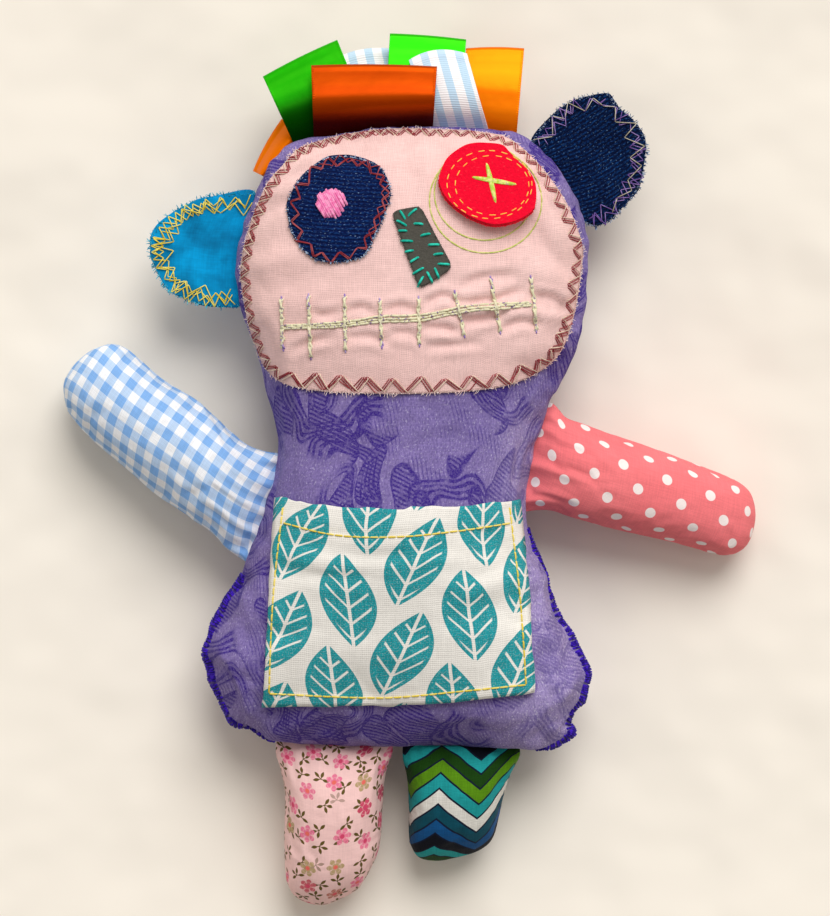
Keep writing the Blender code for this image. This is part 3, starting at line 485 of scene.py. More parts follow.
def panel(side, fill):
    """Heights of the front or back panel over the plan."""
    u, v = body_across[None, :], body_up[:, None]
    if side > 0:
        waist = BELLY_DEPTH + (WAIST_DEPTH - BELLY_DEPTH) * ease((v - 0.26) / 0.24)
        depth = np.where(v < 0.5, waist, WAIST_DEPTH + (HEAD_DEPTH - WAIST_DEPTH) * ease((v - 0.5) / 0.24))
        powers = (2.3, 4.0)
    else:
        hollow = np.where(v < 0.5, ease((v - 0.35) / 0.15), ease((0.65 - v) / 0.15))
        depth = SEAM + 0.5 - HOLLOW_OF_BACK * hollow
        powers = (4.0, 8.0)
    a, b = 1 - np.abs(2 * u - 1) ** powers[0], 1 - np.abs(2 * v - 1) ** powers[1]
    joint = a + b - a * b
    fullness = np.where(joint > 0, a * b / np.where(joint > 0, joint, 1), 0)
    height = SEAM + side * depth * fill * np.sqrt(np.maximum(fullness, 0))
    return np.dstack([body_plan, np.broadcast_to(height, body_plan.shape[:2])])


def sewn_bag(front, back):
    """Both panels in one mesh, joined along the seam."""
    bm = laid_out(front, flat_pattern(front))
    under = laid_out(back, flat_pattern(back) * (-1, 1) + BACK_PATTERN_SHIFT)
    spare = bpy.data.meshes.new("spare")
    under.to_mesh(spare)
    under.free()
    first = len(bm.faces)
    bm.from_mesh(spare)
    bpy.data.meshes.remove(spare)
    bm.faces.ensure_lookup_table()
    bmesh.ops.reverse_faces(bm, faces=bm.faces[first:])
    bmesh.ops.remove_doubles(bm, verts=bm.verts, dist=1e-7)
    return bm


body = into_object("body_bag", sewn_bag(panel(1, SLACK_FILL), panel(-1, SLACK_FILL)), None, None)
body_seam = np.abs(read_points(body.data)[:, 2] - SEAM) < 1e-3
wrinkles = stuffed(body, body_seam, pressure=4.0, slack=0.05, rounds=22, limit=2.6)
full = into_object("full", sewn_bag(panel(1, 1.0), panel(-1, 1.0)), None, None)
full_points = read_points(full.data)
bpy.data.objects.remove(full)
write_points(body.data, full_points)


def point_normals(mesh):
    normals = np.empty(len(mesh.vertices) * 3)
    mesh.vertices.foreach_get("normal", normals)
    return normals.reshape(-1, 3)


def seam_distance(points, border):
    """For each point: how far it is from the border in the plan, and how far along the border."""
    gaps = np.linalg.norm(points[:, None, :2] - border[None], axis=2)
    return gaps.min(axis=1), lengths(border)[gaps.argmin(axis=1)]


border = rounded(BODY_BOTTOM + BODY_RIGHT + BODY_TOP + BODY_LEFT, True, 24)
away, along = seam_distance(full_points, border)
out = point_normals(body.data)
pucker = 0.55 * np.sin(along * 0.83 + 1.7 * np.sin(along * 0.11))
pucker += 0.35 * np.sin(along * 1.31 + 2.1 * np.sin(along * 0.07))
rise = np.abs(full_points[:, 2] - SEAM)
pucker *= np.exp(-away / 3.5) * np.exp(-rise / 16) * ease(rise / 3)
on_left = full_points[:, 0] < 0
whipped = ease((np.where(on_left, *WHIPPED_TOP) - full_points[:, 1]) / 4)
whipped *= ease((np.abs(full_points[:, 0]) - np.where(on_left, *WHIPPED_IN)) / 4)
scallop = 0.45 * np.sin(along * 2 * math.pi / WHIP_PITCH) * np.exp(-away / 1.5) * np.exp(-rise / 4)
scallop *= whipped
wavy = 0.9 * np.sin(along * 0.42) * np.sin(along * 0.17 + 1) * np.exp(-away / 3) * whipped
points = full_points + wrinkles + out * (pucker + scallop + wavy)[:, None]
pinch = 1 - 0.80 * whipped * (1 - ease(away / 6))
points[:, 2] = SEAM + (points[:, 2] - SEAM) * pinch
points[:, 2] = np.maximum(points[:, 2], 0.0)
write_points(body.data, points)


def rounded_off(obj):
    smooth = obj.modifiers.new("rounded", "SUBSURF")
    smooth.levels = smooth.render_levels = 1


rounded_off(body)


def purple_print():
    """Heathered purple cotton with a darker print of curls and leaves, drawn in hatched, broken strokes."""
    cloth = Finish("purple_print_cotton")
    x, y = cloth.pattern()
    flat = cloth.join(x, y)
    bend = cloth.value("ShaderNodeTexNoise", {"Vector": flat, "Scale": 1 / 26, "Detail": 1.0}, 1)
    bend = cloth.vectors("MULTIPLY", cloth.vectors("SUBTRACT", bend, (0.5, 0.5, 0.5)), (34, 34, 34))
    warped = cloth.vectors("ADD", flat, bend)
    shake = cloth.noise(flat, 5, 2.0)

    def strokes(value, pitch, share):
        """Lines of ink along which the value stays the same, a little shaky."""
        phase = shake * 5.0 + value * (2 * math.pi / pitch)
        return cloth.step(cloth.maths("SINE", phase), 1 - 2 * share, 1.4 - 2 * share)

    out = cloth.from_middle(warped, 37)
    curl = None
    for middle, half in ((13.5, 3.4), (6.0, 1.9)):
        band = cloth.step(abs(out - middle), half, half - 0.7)
        curl = band if curl is None else cloth.maths("MAXIMUM", curl, band)
    curl = curl * cloth.step(cloth.noise(flat, 24, 0.0), 0.38, 0.45)
    curl = curl * (strokes(out, 1.6, 0.62) * 0.62 + 0.38)
    apart = cloth.from_middle(cloth.vectors("MULTIPLY", warped, (1.0, 0.5, 1.0)), 12)
    there = cloth.step(cloth.noise(flat, 26, 0.0), 0.46, 0.49)
    hatched = strokes(x * 0.5 + y, 1.3, 0.6)
    leaf = cloth.step(apart, 5.0, 4.6) * (hatched * 0.6 + 0.4)
    rim = cloth.step(abs(apart - 4.9), 0.6, 0.25)
    leaf = cloth.maths("MAXIMUM", leaf, rim) * there
    shading = cloth.step(cloth.noise(cloth.join(y, x), 15, 1.0), 0.48, 0.60)
    shading = shading * strokes(y * 0.35 + x, 1.25, 0.4)
    ink = cloth.maths("MAXIMUM", cloth.maths("MAXIMUM", curl, leaf), shading * 0.58)
    grain = cloth.step(cloth.noise(flat, 0.55, 2.0, 0.7), 0.34, 0.60)
    ink = ink * (grain * 0.4 + 0.6)
    worn = cloth.step(cloth.noise(flat, 3.2, 3.0), 0.28, 0.48)
    ink = ink * (worn * 0.6 + 0.4)
    # The cloth is paler toward the lower right: a lighter ground and thinner ink.
    paler_lower_right = cloth.step(x, 22.0, 40.0) * cloth.step(y, 20.0, 0.0)
    ink = ink * (1.0 - paler_lower_right * 0.45)
    ground = cloth.mix(cloth.noise(flat, 26, 2.0), (0.215, 0.160, 0.405), (0.315, 0.240, 0.545))
    heather = cloth.noise(cloth.join(x, y * 0.45), 0.5, 2.0, 0.7)
    ground = cloth.mix(cloth.step(heather, 0.28, 0.62), cloth.tinted(ground, (0.6, 0.58, 0.71)), ground)
    fleck = cloth.step(cloth.noise(cloth.join(x, y * 0.6, 7.0), 0.42, 1.0), 0.6, 0.72)
    ground = cloth.mix(fleck * 0.4, ground, (0.66, 0.6, 0.84))
    ground = cloth.mix(paler_lower_right, ground, cloth.tinted(ground, (1.52, 1.6, 1.28)))
    ground = cloth.slubs(ground, 0.12, 0.5)
    color = cloth.mix(ink, ground, (0.040, 0.017, 0.215))
    color = cloth.weave(0.42, 0.05, color, 0.84)
    cloth.crumple(0.7, 9)
    return cloth.done(color)


body.data.materials.clear()
body.data.materials.append(purple_print())
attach(body, "torso")
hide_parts("body_front_panel", "body_back_panel", "body_stuffing")


def surface_of(*objects):
    """The outer surface of finished pieces, to lay others on."""
    graph = bpy.context.evaluated_depsgraph_get()
    verts, faces = [], []
    for obj in objects:
        found = obj.evaluated_get(graph)
        mesh = found.to_mesh()
        base = len(verts)
        verts += [vert.co.copy() for vert in mesh.vertices]
        faces += [[base + index for index in face.vertices] for face in mesh.polygons]
        found.to_mesh_clear()
    return BVHTree.FromPolygons(verts, faces)


def seen(surface, x, y, lift=0.0):
    """Where a place of the picture lies on a surface, lifted off it along its own outward direction."""
    aim = Vector((x, y, PLANE)) * MM
    hit, normal, _, _ = surface.ray_cast(EYE, (aim - EYE).normalized())
    if hit is None:
        hit, normal, _, _ = surface.find_nearest(Vector((x, y, SEAM + 8)) * MM)
    if normal.z < 0:
        normal = -normal
    return np.array(hit + normal * lift * MM) / MM


bag = surface_of(body)


# Face patch: one piece of pink linen, laid over the front of the head with a raw, fraying edge.
# It is held by a zigzag of dark red and cream thread all round.
FACE_EDGE = (
    (-40.4, 27.0), (-28.9, 24.0), (-12.2, 23.6), (5.0, 24.3), (21.3, 25.9), (34.4, 29.2), (45.1, 36.7),
    (49.6, 47.9), (51.8, 64.9), (51.2, 73.4), (43.9, 88.0), (31.2, 101.2),
    (20.6, 104.7), (-3.9, 105.0), (-20.0, 102.8), (-35.3, 98.0),
    (-40.4, 92.4), (-45.3, 86.4), (-49.9, 74.0), (-52.3, 61.4), (-51.3, 52.3), (-47.3, 37.0),
)
FACE_MARKS = (0, 6, 11, 15)
RIM_TRIES = 14
RIM_STEP = 0.2


def drawn_at(plan, height):
    """Moves places, drawn as they show in the picture, to where they are at their own height."""
    share = (np.asarray(height) - PLANE)[..., None] / DISTANCE
    return plan + (np.array(MIDDLE) - plan) * share


def drawn_as(spots):
    """Where the picture shows places that lie at their own height."""
    share = ((spots[..., 2] - PLANE) / (DISTANCE - (spots[..., 2] - PLANE)))[..., None]
    return spots[..., :2] + (spots[..., :2] - np.array(MIDDLE)) * share


def settled(spots, depth=5, rounds=4):
    """Evens out the rim of a grid of places, so that the cloth's edge lies in one soft line."""
    rows, columns = spots.shape[:2]
    down, across = np.arange(rows)[:, None], np.arange(columns)[None, :]
    inside = np.minimum(np.minimum(down, rows - 1 - down), np.minimum(across, columns - 1 - across))
    share = np.clip(1 - inside / depth, 0, 1)[..., None]
    for _ in range(rounds):
        padded = np.pad(spots, ((1, 1), (1, 1), (0, 0)), "reflect", reflect_type="odd")
        mean = (padded[:-2, 1:-1] + padded[2:, 1:-1] + padded[1:-1, :-2] + padded[1:-1, 2:]) / 4
        spots = spots + (mean - spots) * share
    return spots


def thicken(obj, thickness, side):
    wall = obj.modifiers.new("cloth", "SOLIDIFY")
    wall.thickness = thickness * MM
    wall.offset = side


def placed(place, plan, lifts):
    return np.array([[place(x, y, up) for (x, y), up in zip(*pair)] for pair in zip(plan, lifts)])


def laid_patch(
    name, outline, marks, columns, rows, place, lift, thickness, finish, body="torso", smooth=True, even=0
):
    """A patch of cloth that lies where the picture shows it. The lift may be a function of the plan."""
    plan = between(*split_outline(outline, marks, smooth), shares(columns), shares(rows))
    lifts = lift(plan) if callable(lift) else np.full(plan.shape[:2], lift)
    spots = placed(place, plan, lifts)
    if even:
        aim = plan.copy()
        for _ in range(3):
            aim += plan - drawn_as(spots)
            spots = placed(place, aim, lifts + thickness)
        spots = placed(place, aim, lifts)
        spots = settled(spots, rounds=even)
    patch = into_object(name, laid_out(spots, flat_pattern(spots)), finish, body)
    thicken(patch, thickness, 1)
    return patch


def pink_linen():
    """Dusty pink linen: an open plain weave with uneven threads."""
    cloth = Finish("pink_linen", 0.85, 0.04)
    x, y = cloth.pattern()
    ground = cloth.mix(cloth.noise(cloth.join(x, y), 25, 2.0), (0.90, 0.585, 0.555), (0.98, 0.68, 0.65))
    ground = cloth.slubs(ground, 0.09, 0.36)
    color = cloth.weave(0.55, 0.09, ground, 0.80)
    cloth.crumple(0.45, 7)
    return cloth.done(color)


def creased(plan, creases, width):
    """How far each place dips or rises beside creases, each given as its points and its depth."""
    field = np.zeros(plan.shape[:2])
    for points, depth in creases:
        line = rounded(points, steps=12)
        gaps = np.linalg.norm(plan[:, :, None] - line, axis=3)
        gap, share = gaps.min(axis=2), gaps.argmin(axis=2) / (len(line) - 1)
        fade = np.sin(math.pi * np.clip(share, 0.04, 0.96)) ** 0.6
        beside = 0.8 * np.exp(-(((gap - 2.1 * width) / width) ** 2))
        field += depth * fade * (beside - np.exp(-((gap / width) ** 2)))
    return field


# The mouth stitching draws the linen in, in curved creases from one bar to the next.
MOUTH_CREASES = (
    (((33.1, 56.6), (26.6, 54.0), (19.4, 51.7)), 0.9), (((36.5, 55.7), (43.8, 54.4), (49.9, 50.0)), 0.9),
    (((38.5, 53.8), (41.9, 52.3), (47.3, 51.2)), 0.7), (((15.7, 46.6), (22.2, 47.9), (28.1, 49.1)), 0.9),
    (((28.3, 45.2), (33.5, 47.3), (38.8, 46.9)), 0.7), (((3.9, 44.2), (10.5, 44.4), (15.1, 43.3)), 0.8),
    (((-18.8, 48.5), (-14.9, 49.7), (-10.9, 48.2)), 0.7),
    (((-18.5, 40.3), (-11.9, 40.9), (-5.2, 38.8)), 0.6),
    (((-29.4, 47.5), (-26.0, 46.9), (-21.5, 48.4)), 0.6), (((-7.6, 49.0), (-3.0, 50.5), (2.3, 49.4)), 0.8),
    (((4.9, 51.5), (9.4, 54.3), (14.1, 53.2)), 0.9), (((-34.9, 36.0), (-29.7, 38.8), (-23.1, 40.4)), 0.6),
    (((14.1, 52.5), (20.0, 53.1), (23.9, 54.9)), 0.8), (((-7.0, 41.5), (-1.0, 42.6), (3.5, 41.0)), 0.6),
    (((16.0, 58.0), (22.0, 60.5), (31.0, 61.5)), 0.5), (((5.0, 38.5), (13.0, 39.5), (22.0, 40.5)), 0.5),
)


def face_lift(plan):
    rim = np.concatenate([plan[0], plan[:, -1], plan[-1, ::-1], plan[::-1, 0]])
    inside = np.linalg.norm(plan[:, :, None] - rim, axis=3).min(axis=2)
    base = 0.45 + 0.65 * ease(inside / 9)
    return np.maximum(base + 1.5 * creased(plan, MOUTH_CREASES, 1.2), 0.3)


face = laid_patch(
    "face_patch_linen", FACE_EDGE, FACE_MARKS, 96, 78, partial(seen, bag), face_lift, 0.35,
    pink_linen(), even=8,
)
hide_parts("face_patch")
head = partial(seen, surface_of(body, face))
linen_top = surface_of(face)
face_middle = np.mean(FACE_EDGE, axis=0)


def on_linen(x, y, lift=0.0):
    """A place on the face patch, drawn in to its rim where it lies outside."""
    spot = np.array([x, y], float)
    for _ in range(RIM_TRIES):
        aim = Vector((*spot, PLANE)) * MM
        if linen_top.ray_cast(EYE, (aim - EYE).normalized())[0] is not None:
            break
        spot += RIM_STEP * (face_middle - spot) / np.linalg.norm(face_middle - spot)
    return seen(linen_top, *spot, lift)


def thread(name, colors, speckle=1.5, roughness=0.55):
    """A twisted cotton thread in two or three shades that follow each other along it."""
    cord = Finish(name, roughness, 0.05)
    place = cord.solid_place()
    color = cord.mix(cord.step(cord.noise(place, speckle, 1.0), 0.42, 0.58), colors[0], colors[1])
    if len(colors) > 2:
        color = cord.mix(cord.step(cord.noise(place, 0.8, 1.0), 0.60, 0.66), color, colors[2])
    cord.raise_by(cord.noise(place, 0.22, 2.0), 0.12)
    return cord.done(color)


def sewn(name, runs, radius, finish, body, taper=1.0):
    """Thread laid along each run of places, all as one piece."""
    curve = bpy.data.curves.new(name, "CURVE")
    curve.dimensions = "3D"
    curve.bevel_depth = radius * MM
    curve.bevel_resolution = 1
    curve.use_fill_caps = True
    for run in runs:
        spline = curve.splines.new("POLY")
        spline.points.add(len(run) - 1)
        for point, place in zip(spline.points, run):
            point.co = (*(np.asarray(place) * MM), 1)
        spline.points[0].radius = spline.points[-1].radius = taper
    drawn = bpy.data.objects.new(name + "_line", curve)
    scene.collection.objects.link(drawn)
    graph = bpy.context.evaluated_depsgraph_get()
    mesh = bpy.data.meshes.new_from_object(drawn.evaluated_get(graph))
    bpy.data.objects.remove(drawn)
    mesh.name = name
    mesh.materials.clear()
    mesh.materials.append(finish)
    mesh.shade_smooth()
    piece = bpy.data.objects.new(name, mesh)
    scene.collection.objects.link(piece)
    if body:
        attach(piece, body)
    return piece


def stitch(place, start, end, lift, sink=0.3, steps=6):
    """One straight stitch: it comes up through the cloth, lies on it and goes down again."""
    start, end = np.asarray(start, float), np.asarray(end, float)
    return [
        place(*(start + (end - start) * share), lift - (lift + sink) * abs(2 * share - 1) ** 7)
        for share in np.linspace(0, 1, steps + 1)
    ]


class Border:
    """A closed or open line in the plan, with its left side called inward."""

    def __init__(self, line):
        self.line = np.asarray(line, float)
        self.reach = lengths(self.line)
        self.length = self.reach[-1]

    def at(self, along, inset=0.0):
        along = min(max(along, 0), self.length)
        index = min(int(np.searchsorted(self.reach, along, "right")) - 1, len(self.line) - 2)
        first, second = self.line[index], self.line[index + 1]
        way = (second - first) / max(np.linalg.norm(second - first), 1e-9)
        spot = first + way * (along - self.reach[index])
        return spot + np.array([-way[1], way[0]]) * inset, way


def zigzag(place, border, pitch, far, near, lift, draw, span=(0.0, 1.0), uneven=0.2, shifts=(0.0,)):
    """Stitches from side to side between two distances in from a border.

    Each shift gives one more thread.
    """
    start, stop = span
    count = 2 * round((stop - start) * border.length / pitch)
    turns = []
    for index in range(count + 1):
        along = border.length * (start + (stop - start) * index / count)
        along += draw.uniform(-uneven, uneven) * pitch / 2
        inset = (near if index % 2 else far) + draw.uniform(-uneven, uneven) * abs(far - near)
        turns.append((along, inset))
    runs = []
    for part, shift in enumerate(shifts):
        spots = [
            border.at((along + shift) % border.length, inset + 0.12 * part)[0] for along, inset in turns
        ]
        pairs = [(a, b) for a, b in zip(spots, spots[1:]) if np.linalg.norm(a - b) < 3 * pitch]
        runs += [stitch(place, first, second, lift + 0.1 * part, 0.2) for first, second in pairs]
    return runs


def frayed(place, border, count, reach, lift, draw, start=0.0, stop=1.0):
    """Loose fibres that stick out of a raw edge."""
    runs = []
    for _ in range(count):
        spot, way = border.at(border.length * draw.uniform(start, stop), 0.4)
        out = np.array([way[1], -way[0]])
        turn = draw.gauss(0, 0.55)
        out = out * math.cos(turn) + way * math.sin(turn)
        size = 0.4 + reach * draw.random() ** 2
        bend = draw.uniform(-0.5, 0.5) * size
        rise = draw.uniform(0.0, 0.5)
        root = place(*spot, lift)
        ahead = root - place(*(spot - out * 0.8), lift)
        ahead /= np.linalg.norm(ahead)
        aside = np.array([-out[1], out[0], 0.0]) * bend
        up = np.array([0.0, 0.0, rise - lift])
        shares_out = (0, 0.4, 0.75, 1)
        runs.append([root + ahead * size * share + aside * share**2 + up * share for share in shares_out])
    return runs


# Raw edge of the face patch: fine pink fibres that have worked loose all round.
# Each starts on the linen and runs straight on past its rim.
draw = random.Random(11)
face_border = Border(rounded(FACE_EDGE, True, 10))
fibre = thread("pink_fibre", ((0.93, 0.66, 0.62), (0.98, 0.84, 0.80)), 1.0, 0.8)
face_fray = sewn(
    "face_patch_fray", frayed(on_linen, face_border, 620, 1.5, 0.25, draw), 0.08, fibre, "torso", 0.4
)

# Zigzag that holds the face patch: passes of a sewing machine, two of them in dark red and one in cream,
# with more dark red where rows cross.
face_red = thread("dark_red_thread", ((0.26, 0.025, 0.035), (0.38, 0.075, 0.085)), 4.0)
face_cream = thread("cream_machine_thread", ((0.80, 0.64, 0.50), (0.66, 0.47, 0.38)), 4.0)


# Each row: pitch, how far in the turns lie, and the part of the border it runs along,
# from the lower left corner.
FACE_ROWS = (
    (7.7, 0.2, 4.8, (0.0, 0.26)), (5.6, 0.1, 3.3, (0.26, 0.48)), (4.8, 0.1, 2.2, (0.48, 0.73)),
    (4.9, 0.1, 2.9, (0.73, 1.0)),
)
CROSSING_ROWS = ((8.6, 0.4, 4.2, (0.0, 0.10)), (7.0, 0.3, 3.8, (0.19, 0.33)), (6.4, 0.2, 2.4, (0.62, 0.86)))
passes, cream_passes = [], []
for pitch, far, near, span in FACE_ROWS:
    state = draw.getstate()
    passes += zigzag(on_linen, face_border, pitch, far, near, 0.24, draw, span, 0.15, (0.0, 0.85))
    draw.setstate(state)
    cream_passes += zigzag(on_linen, face_border, pitch, far, near, 0.42, draw, span, 0.15, (1.65,))
for pitch, far, near, span in CROSSING_ROWS:
    passes += zigzag(on_linen, face_border, pitch, far, near, 0.34, draw, span, 0.25, (0.0,))
face_zigzag = sewn("face_edge_zigzag", passes, 0.155, face_red, "torso")
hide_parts("face_edge_stitching")
face_zigzag_cream = sewn("face_edge_zigzag_cream", cream_passes, 0.155, face_cream, "torso")


# Denim eye: an egg-shaped scrap of jeans cloth with a raw edge.
# It is held by crooked rows of dark red zigzag.
DENIM_EYE_EDGE = (
    (-35.6, 69.0), (-30.7, 64.6), (-24.4, 63.2), (-17.6, 64.4), (-14.0, 66.2),
    (-11.6, 71.6), (-8.4, 79.6), (-7.7, 85.9), (-11.2, 92.6),
    (-18.9, 95.6), (-25.7, 95.3), (-29.5, 93.6), (-32.5, 91.1),
    (-36.5, 86.3), (-38.6, 81.0), (-37.7, 74.7),
)
DENIM_EYE_MARKS = (0, 4, 8, 12)


def denim(name, rib, tilt, dark, light, fleck):
    """Indigo twill: slanted ribs with a worn, paler crest and pale flecks of the weft between them."""
    cloth = Finish(name, 0.95, 0.0)
    x, y = cloth.pattern()
    along = x * math.cos(tilt) + y * math.sin(tilt)
    across = y * math.cos(tilt) - x * math.sin(tilt)
    wander = cloth.noise(cloth.join(x, y), 7.0, 2.0)
    phase = across * (2 * math.pi / rib) + wander * 3.0
    crest = cloth.maths("SINE", phase) * 0.5 + 0.5
    dashes = cloth.noise(cloth.join(along * 0.55, across), 0.5, 2.0)
    worn = crest * cloth.step(dashes, 0.35, 0.7)
    color = cloth.mix(worn, dark, light)
    specks = cloth.noise(cloth.join(along * 0.6, across + 31.0), 0.42, 1.0)
    speck = cloth.step(specks, 0.64, 0.76) * 0.6
    color = cloth.mix(speck, color, fleck)
    shade = cloth.noise(cloth.join(x, y), 14, 2.0)
    color = cloth.mix(cloth.step(shade, 0.35, 0.7), cloth.tinted(color, (0.62, 0.66, 0.75)), color)
    cloth.raise_by(crest, 0.16)
    cloth.raise_by(dashes, 0.12)
    return cloth.done(color)


eye_denim = denim("dark_denim", 1.3, 0.03, (0.0006, 0.005, 0.048), (0.008, 0.048, 0.19), (0.28, 0.42, 0.62))
draw = random.Random(23)
ragged = [(x + draw.uniform(-0.25, 0.25), y + draw.uniform(-0.25, 0.25)) for x, y in DENIM_EYE_EDGE]
denim_eye = laid_patch("denim_eye_cloth", ragged, DENIM_EYE_MARKS, 26, 26, head, 0.15, 0.7, eye_denim)
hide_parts("denim_eye_patch")
eye_top = partial(seen, surface_of(body, face, denim_eye))
eye_border = Border(rounded(ragged, True, 10))
pale_indigo = thread("indigo_fibre", ((0.006, 0.028, 0.11), (0.36, 0.46, 0.62)), 1.0, 0.9)
eye_fray = sewn(
    "denim_eye_fray", frayed(eye_top, eye_border, 420, 0.9, 0.3, draw), 0.12, pale_indigo, "torso", 0.4
)
passes = zigzag(eye_top, eye_border, 6.2, -0.2, 2.9, 0.25, draw, uneven=0.25, shifts=(0.0, 0.5))
passes += zigzag(eye_top, eye_border, 6.8, 0.0, 2.6, 0.42, draw, (0.28, 0.72), 0.3)
eye_zigzag = sewn("denim_eye_zigzag", passes, 0.16, face_red, "torso")
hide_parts("denim_eye_edge_stitching")

# Pupil: satin stitches in pink floss, side by side and a little uneven at both ends.
# Together they fill a round spot on the denim.
PUPIL = (-25.4, 81.3)
PUPIL_REACH = 4.4
PUPIL_SLANT = math.radians(-58)
floss = thread("pink_floss", ((0.80, 0.18, 0.42), (0.90, 0.33, 0.56)), 1.2, 0.4)
way = np.array([math.cos(PUPIL_SLANT), math.sin(PUPIL_SLANT)])
side = np.array([-way[1], way[0]])
strands = []
for offset in np.arange(-PUPIL_REACH + 0.35, PUPIL_REACH, 0.52):
    half = math.sqrt(PUPIL_REACH**2 - offset**2) * 0.95
    middle = np.array(PUPIL) + side * offset
    first = middle - way * (half + draw.uniform(-0.5, 0.6))
    second = middle + way * (half + draw.uniform(-0.5, 0.6)) + side * draw.uniform(-0.3, 0.3)
    strands.append(stitch(eye_top, first, second, 0.75 + draw.uniform(-0.12, 0.12), 0.2, 8))
pupil = sewn("pupil_satin_stitches", strands, 0.4, floss, "torso")
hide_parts("pupil_satin_stitching")


# Felt button eye: a thick disc of red felt with one side cut off straight. It is held at its middle only.
# Its lower edge stands off the face.
FELT_EDGE = (
    (12.4, 80.7), (17.6, 77.7), (23.1, 76.0), (27.0, 76.2), (31.6, 77.6),
    (35.8, 80.5), (36.8, 84.1), (36.4, 88.7), (34.5, 92.2), (31.3, 95.1),
    (28.1, 98.1), (25.7, 100.2), (20.6, 100.6), (16.7, 100.3), (13.6, 99.1),
    (9.5, 95.8), (7.7, 92.2), (7.0, 89.1), (7.7, 86.4), (9.2, 83.7),
)
FELT_MARKS = (0, 5, 10, 15)
FELT_MIDDLE = (22.2, 88.6)
FELT_THICKNESS = 2.3
FELT_STAND = 0.9
SLOPE_REACH = 9


def felt(name, color, fluff=0.35):
    """Pressed wool felt: no weave, with a matt, matted surface and a few paler hairs."""
    cloth = Finish(name, 1.0, 0.06)
    place = cloth.solid_place()
    mat = cloth.noise(place, 0.7, 5.0, 0.7)
    dark = tuple(share * 0.80 for share in color)
    shade = cloth.mix(cloth.step(mat, 0.3, 0.65), dark, color)
    hair = cloth.noise(cloth.vectors("MULTIPLY", place, (0.35, 1.6, 1.0)), 0.5, 1.0)
    pale = tuple(min(1.0, share + 0.06) for share in color)
    shade = cloth.mix(cloth.step(hair, 0.66, 0.76) * 0.5, shade, pale)
    cloth.raise_by(mat, fluff)
    cloth.raise_by(cloth.noise(place, 4.0, 2.0), 0.3)
    return cloth.done(shade)


slopes = []
for step in ((SLOPE_REACH, 0), (0, SLOPE_REACH)):
    ahead = head(FELT_MIDDLE[0] + step[0], FELT_MIDDLE[1] + step[1], 0)
    behind = head(FELT_MIDDLE[0] - step[0], FELT_MIDDLE[1] - step[1], 0)
    slopes.append((ahead[2] - behind[2]) / (2 * SLOPE_REACH))
seat_height = head(*FELT_MIDDLE, 0)[2]
lean_x, lean_y = slopes[0] * 0.9, slopes[1] * 0.85


def on_disc(x, y, lift=0.0):
    """A place on the underside of the disc as the picture shows it, or lifted above it."""
    height = seat_height + FELT_STAND + lean_x * (x - FELT_MIDDLE[0]) + lean_y * (y - FELT_MIDDLE[1])
    return np.append(drawn_at(np.array([x, y]), height + lift), height + lift)


red_felt = felt("red_felt", (0.88, 0.002, 0.028))
disc = laid_patch(
    "felt_button", FELT_EDGE, FELT_MARKS, 30, 26, on_disc, 0.0, FELT_THICKNESS, red_felt, "felt_button"
)


def soften_rim(obj, width, segments):
    rim = obj.modifiers.new("soft_rim", "BEVEL")
    rim.width = width * MM
    rim.segments = segments
    rim.angle_limit = math.radians(60)


soften_rim(disc, 0.7, 3)
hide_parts("felt_button_eye")
draw = random.Random(31)
felt_border = Border(rounded(FELT_EDGE, True, 10))


def disc_edge(x, y, lift=0.0):
    return on_disc(x, y, FELT_THICKNESS * 0.6 + lift)


fuzz = [run for rise in (-0.9, -0.2, 0.4) for run in frayed(disc_edge, felt_border, 170, 0.45, rise, draw)]
felt_fuzz = sewn("felt_button_fuzz", fuzz, 0.06, red_felt, "felt_button", 0.4)


def disc_top(x, y, lift=0.0):
    return on_disc(x, y, FELT_THICKNESS + lift)


# Two rings of running stitch near the rim of the felt button, sewn in yellow and orange thread.
# They go through the felt and tilt with it.
def on_ring(middle, reach_x, reach_y, turn):
    return middle[0] + reach_x * math.cos(turn), middle[1] + reach_y * math.sin(turn)


ring_thread = thread("yellow_olive_thread", ((0.80, 0.58, 0.10), (0.86, 0.46, 0.07)), 3.0)
strands = []
for middle, reach_x, reach_y, count in (((22.6, 88.8), 13.0, 10.4, 22), ((23.4, 88.6), 11.3, 9.1, 19)):
    for index in range(count):
        first = 2 * math.pi * (index + draw.uniform(-0.08, 0.08)) / count
        second = first + 2 * math.pi * draw.uniform(0.62, 0.74) / count
        ends = [on_ring(middle, reach_x, reach_y, turn) for turn in (first, second)]
        strands.append(stitch(disc_top, *ends, 0.12, 0.3))
rings = sewn("felt_button_running_stitch", strands, 0.2, ring_thread, "felt_button")

# Cross stitch that holds the felt button: several strands of yellow-green floss each way.
# The strands fan out in the middle and draw together at the ends.
olive = thread("olive_floss", ((0.46, 0.66, 0.06), (0.72, 0.74, 0.22), (0.55, 0.45, 0.30)), 1.2, 0.45)
strands = []
for first, second, fan in (((21.2, 96.2), (24.9, 82.8), 0.5), ((16.6, 90.9), (31.8, 89.0), 0.42)):
    first, second = np.array(first), np.array(second)
    across = np.array([second[1] - first[1], first[0] - second[0]]) / np.linalg.norm(second - first)
    for offset in (-1.0, -0.55, -0.1, 0.35, 0.8):
        spread = across * fan * offset
        middle = (first + second) / 2 + spread * 1.6 + across * draw.uniform(-0.1, 0.1)
        begin = first + spread * 0.3 + (second - first) * draw.uniform(0.0, 0.07)
        finish_at = second + spread * 0.3 + (first - second) * draw.uniform(0.0, 0.07)
        lift = 0.5 - 0.25 * abs(offset) + draw.uniform(0, 0.1)
        run = stitch(disc_top, begin, middle, lift, 0.3)[:-2]
        run += stitch(disc_top, middle, finish_at, lift, 0.3)[2:]
        strands.append(run)
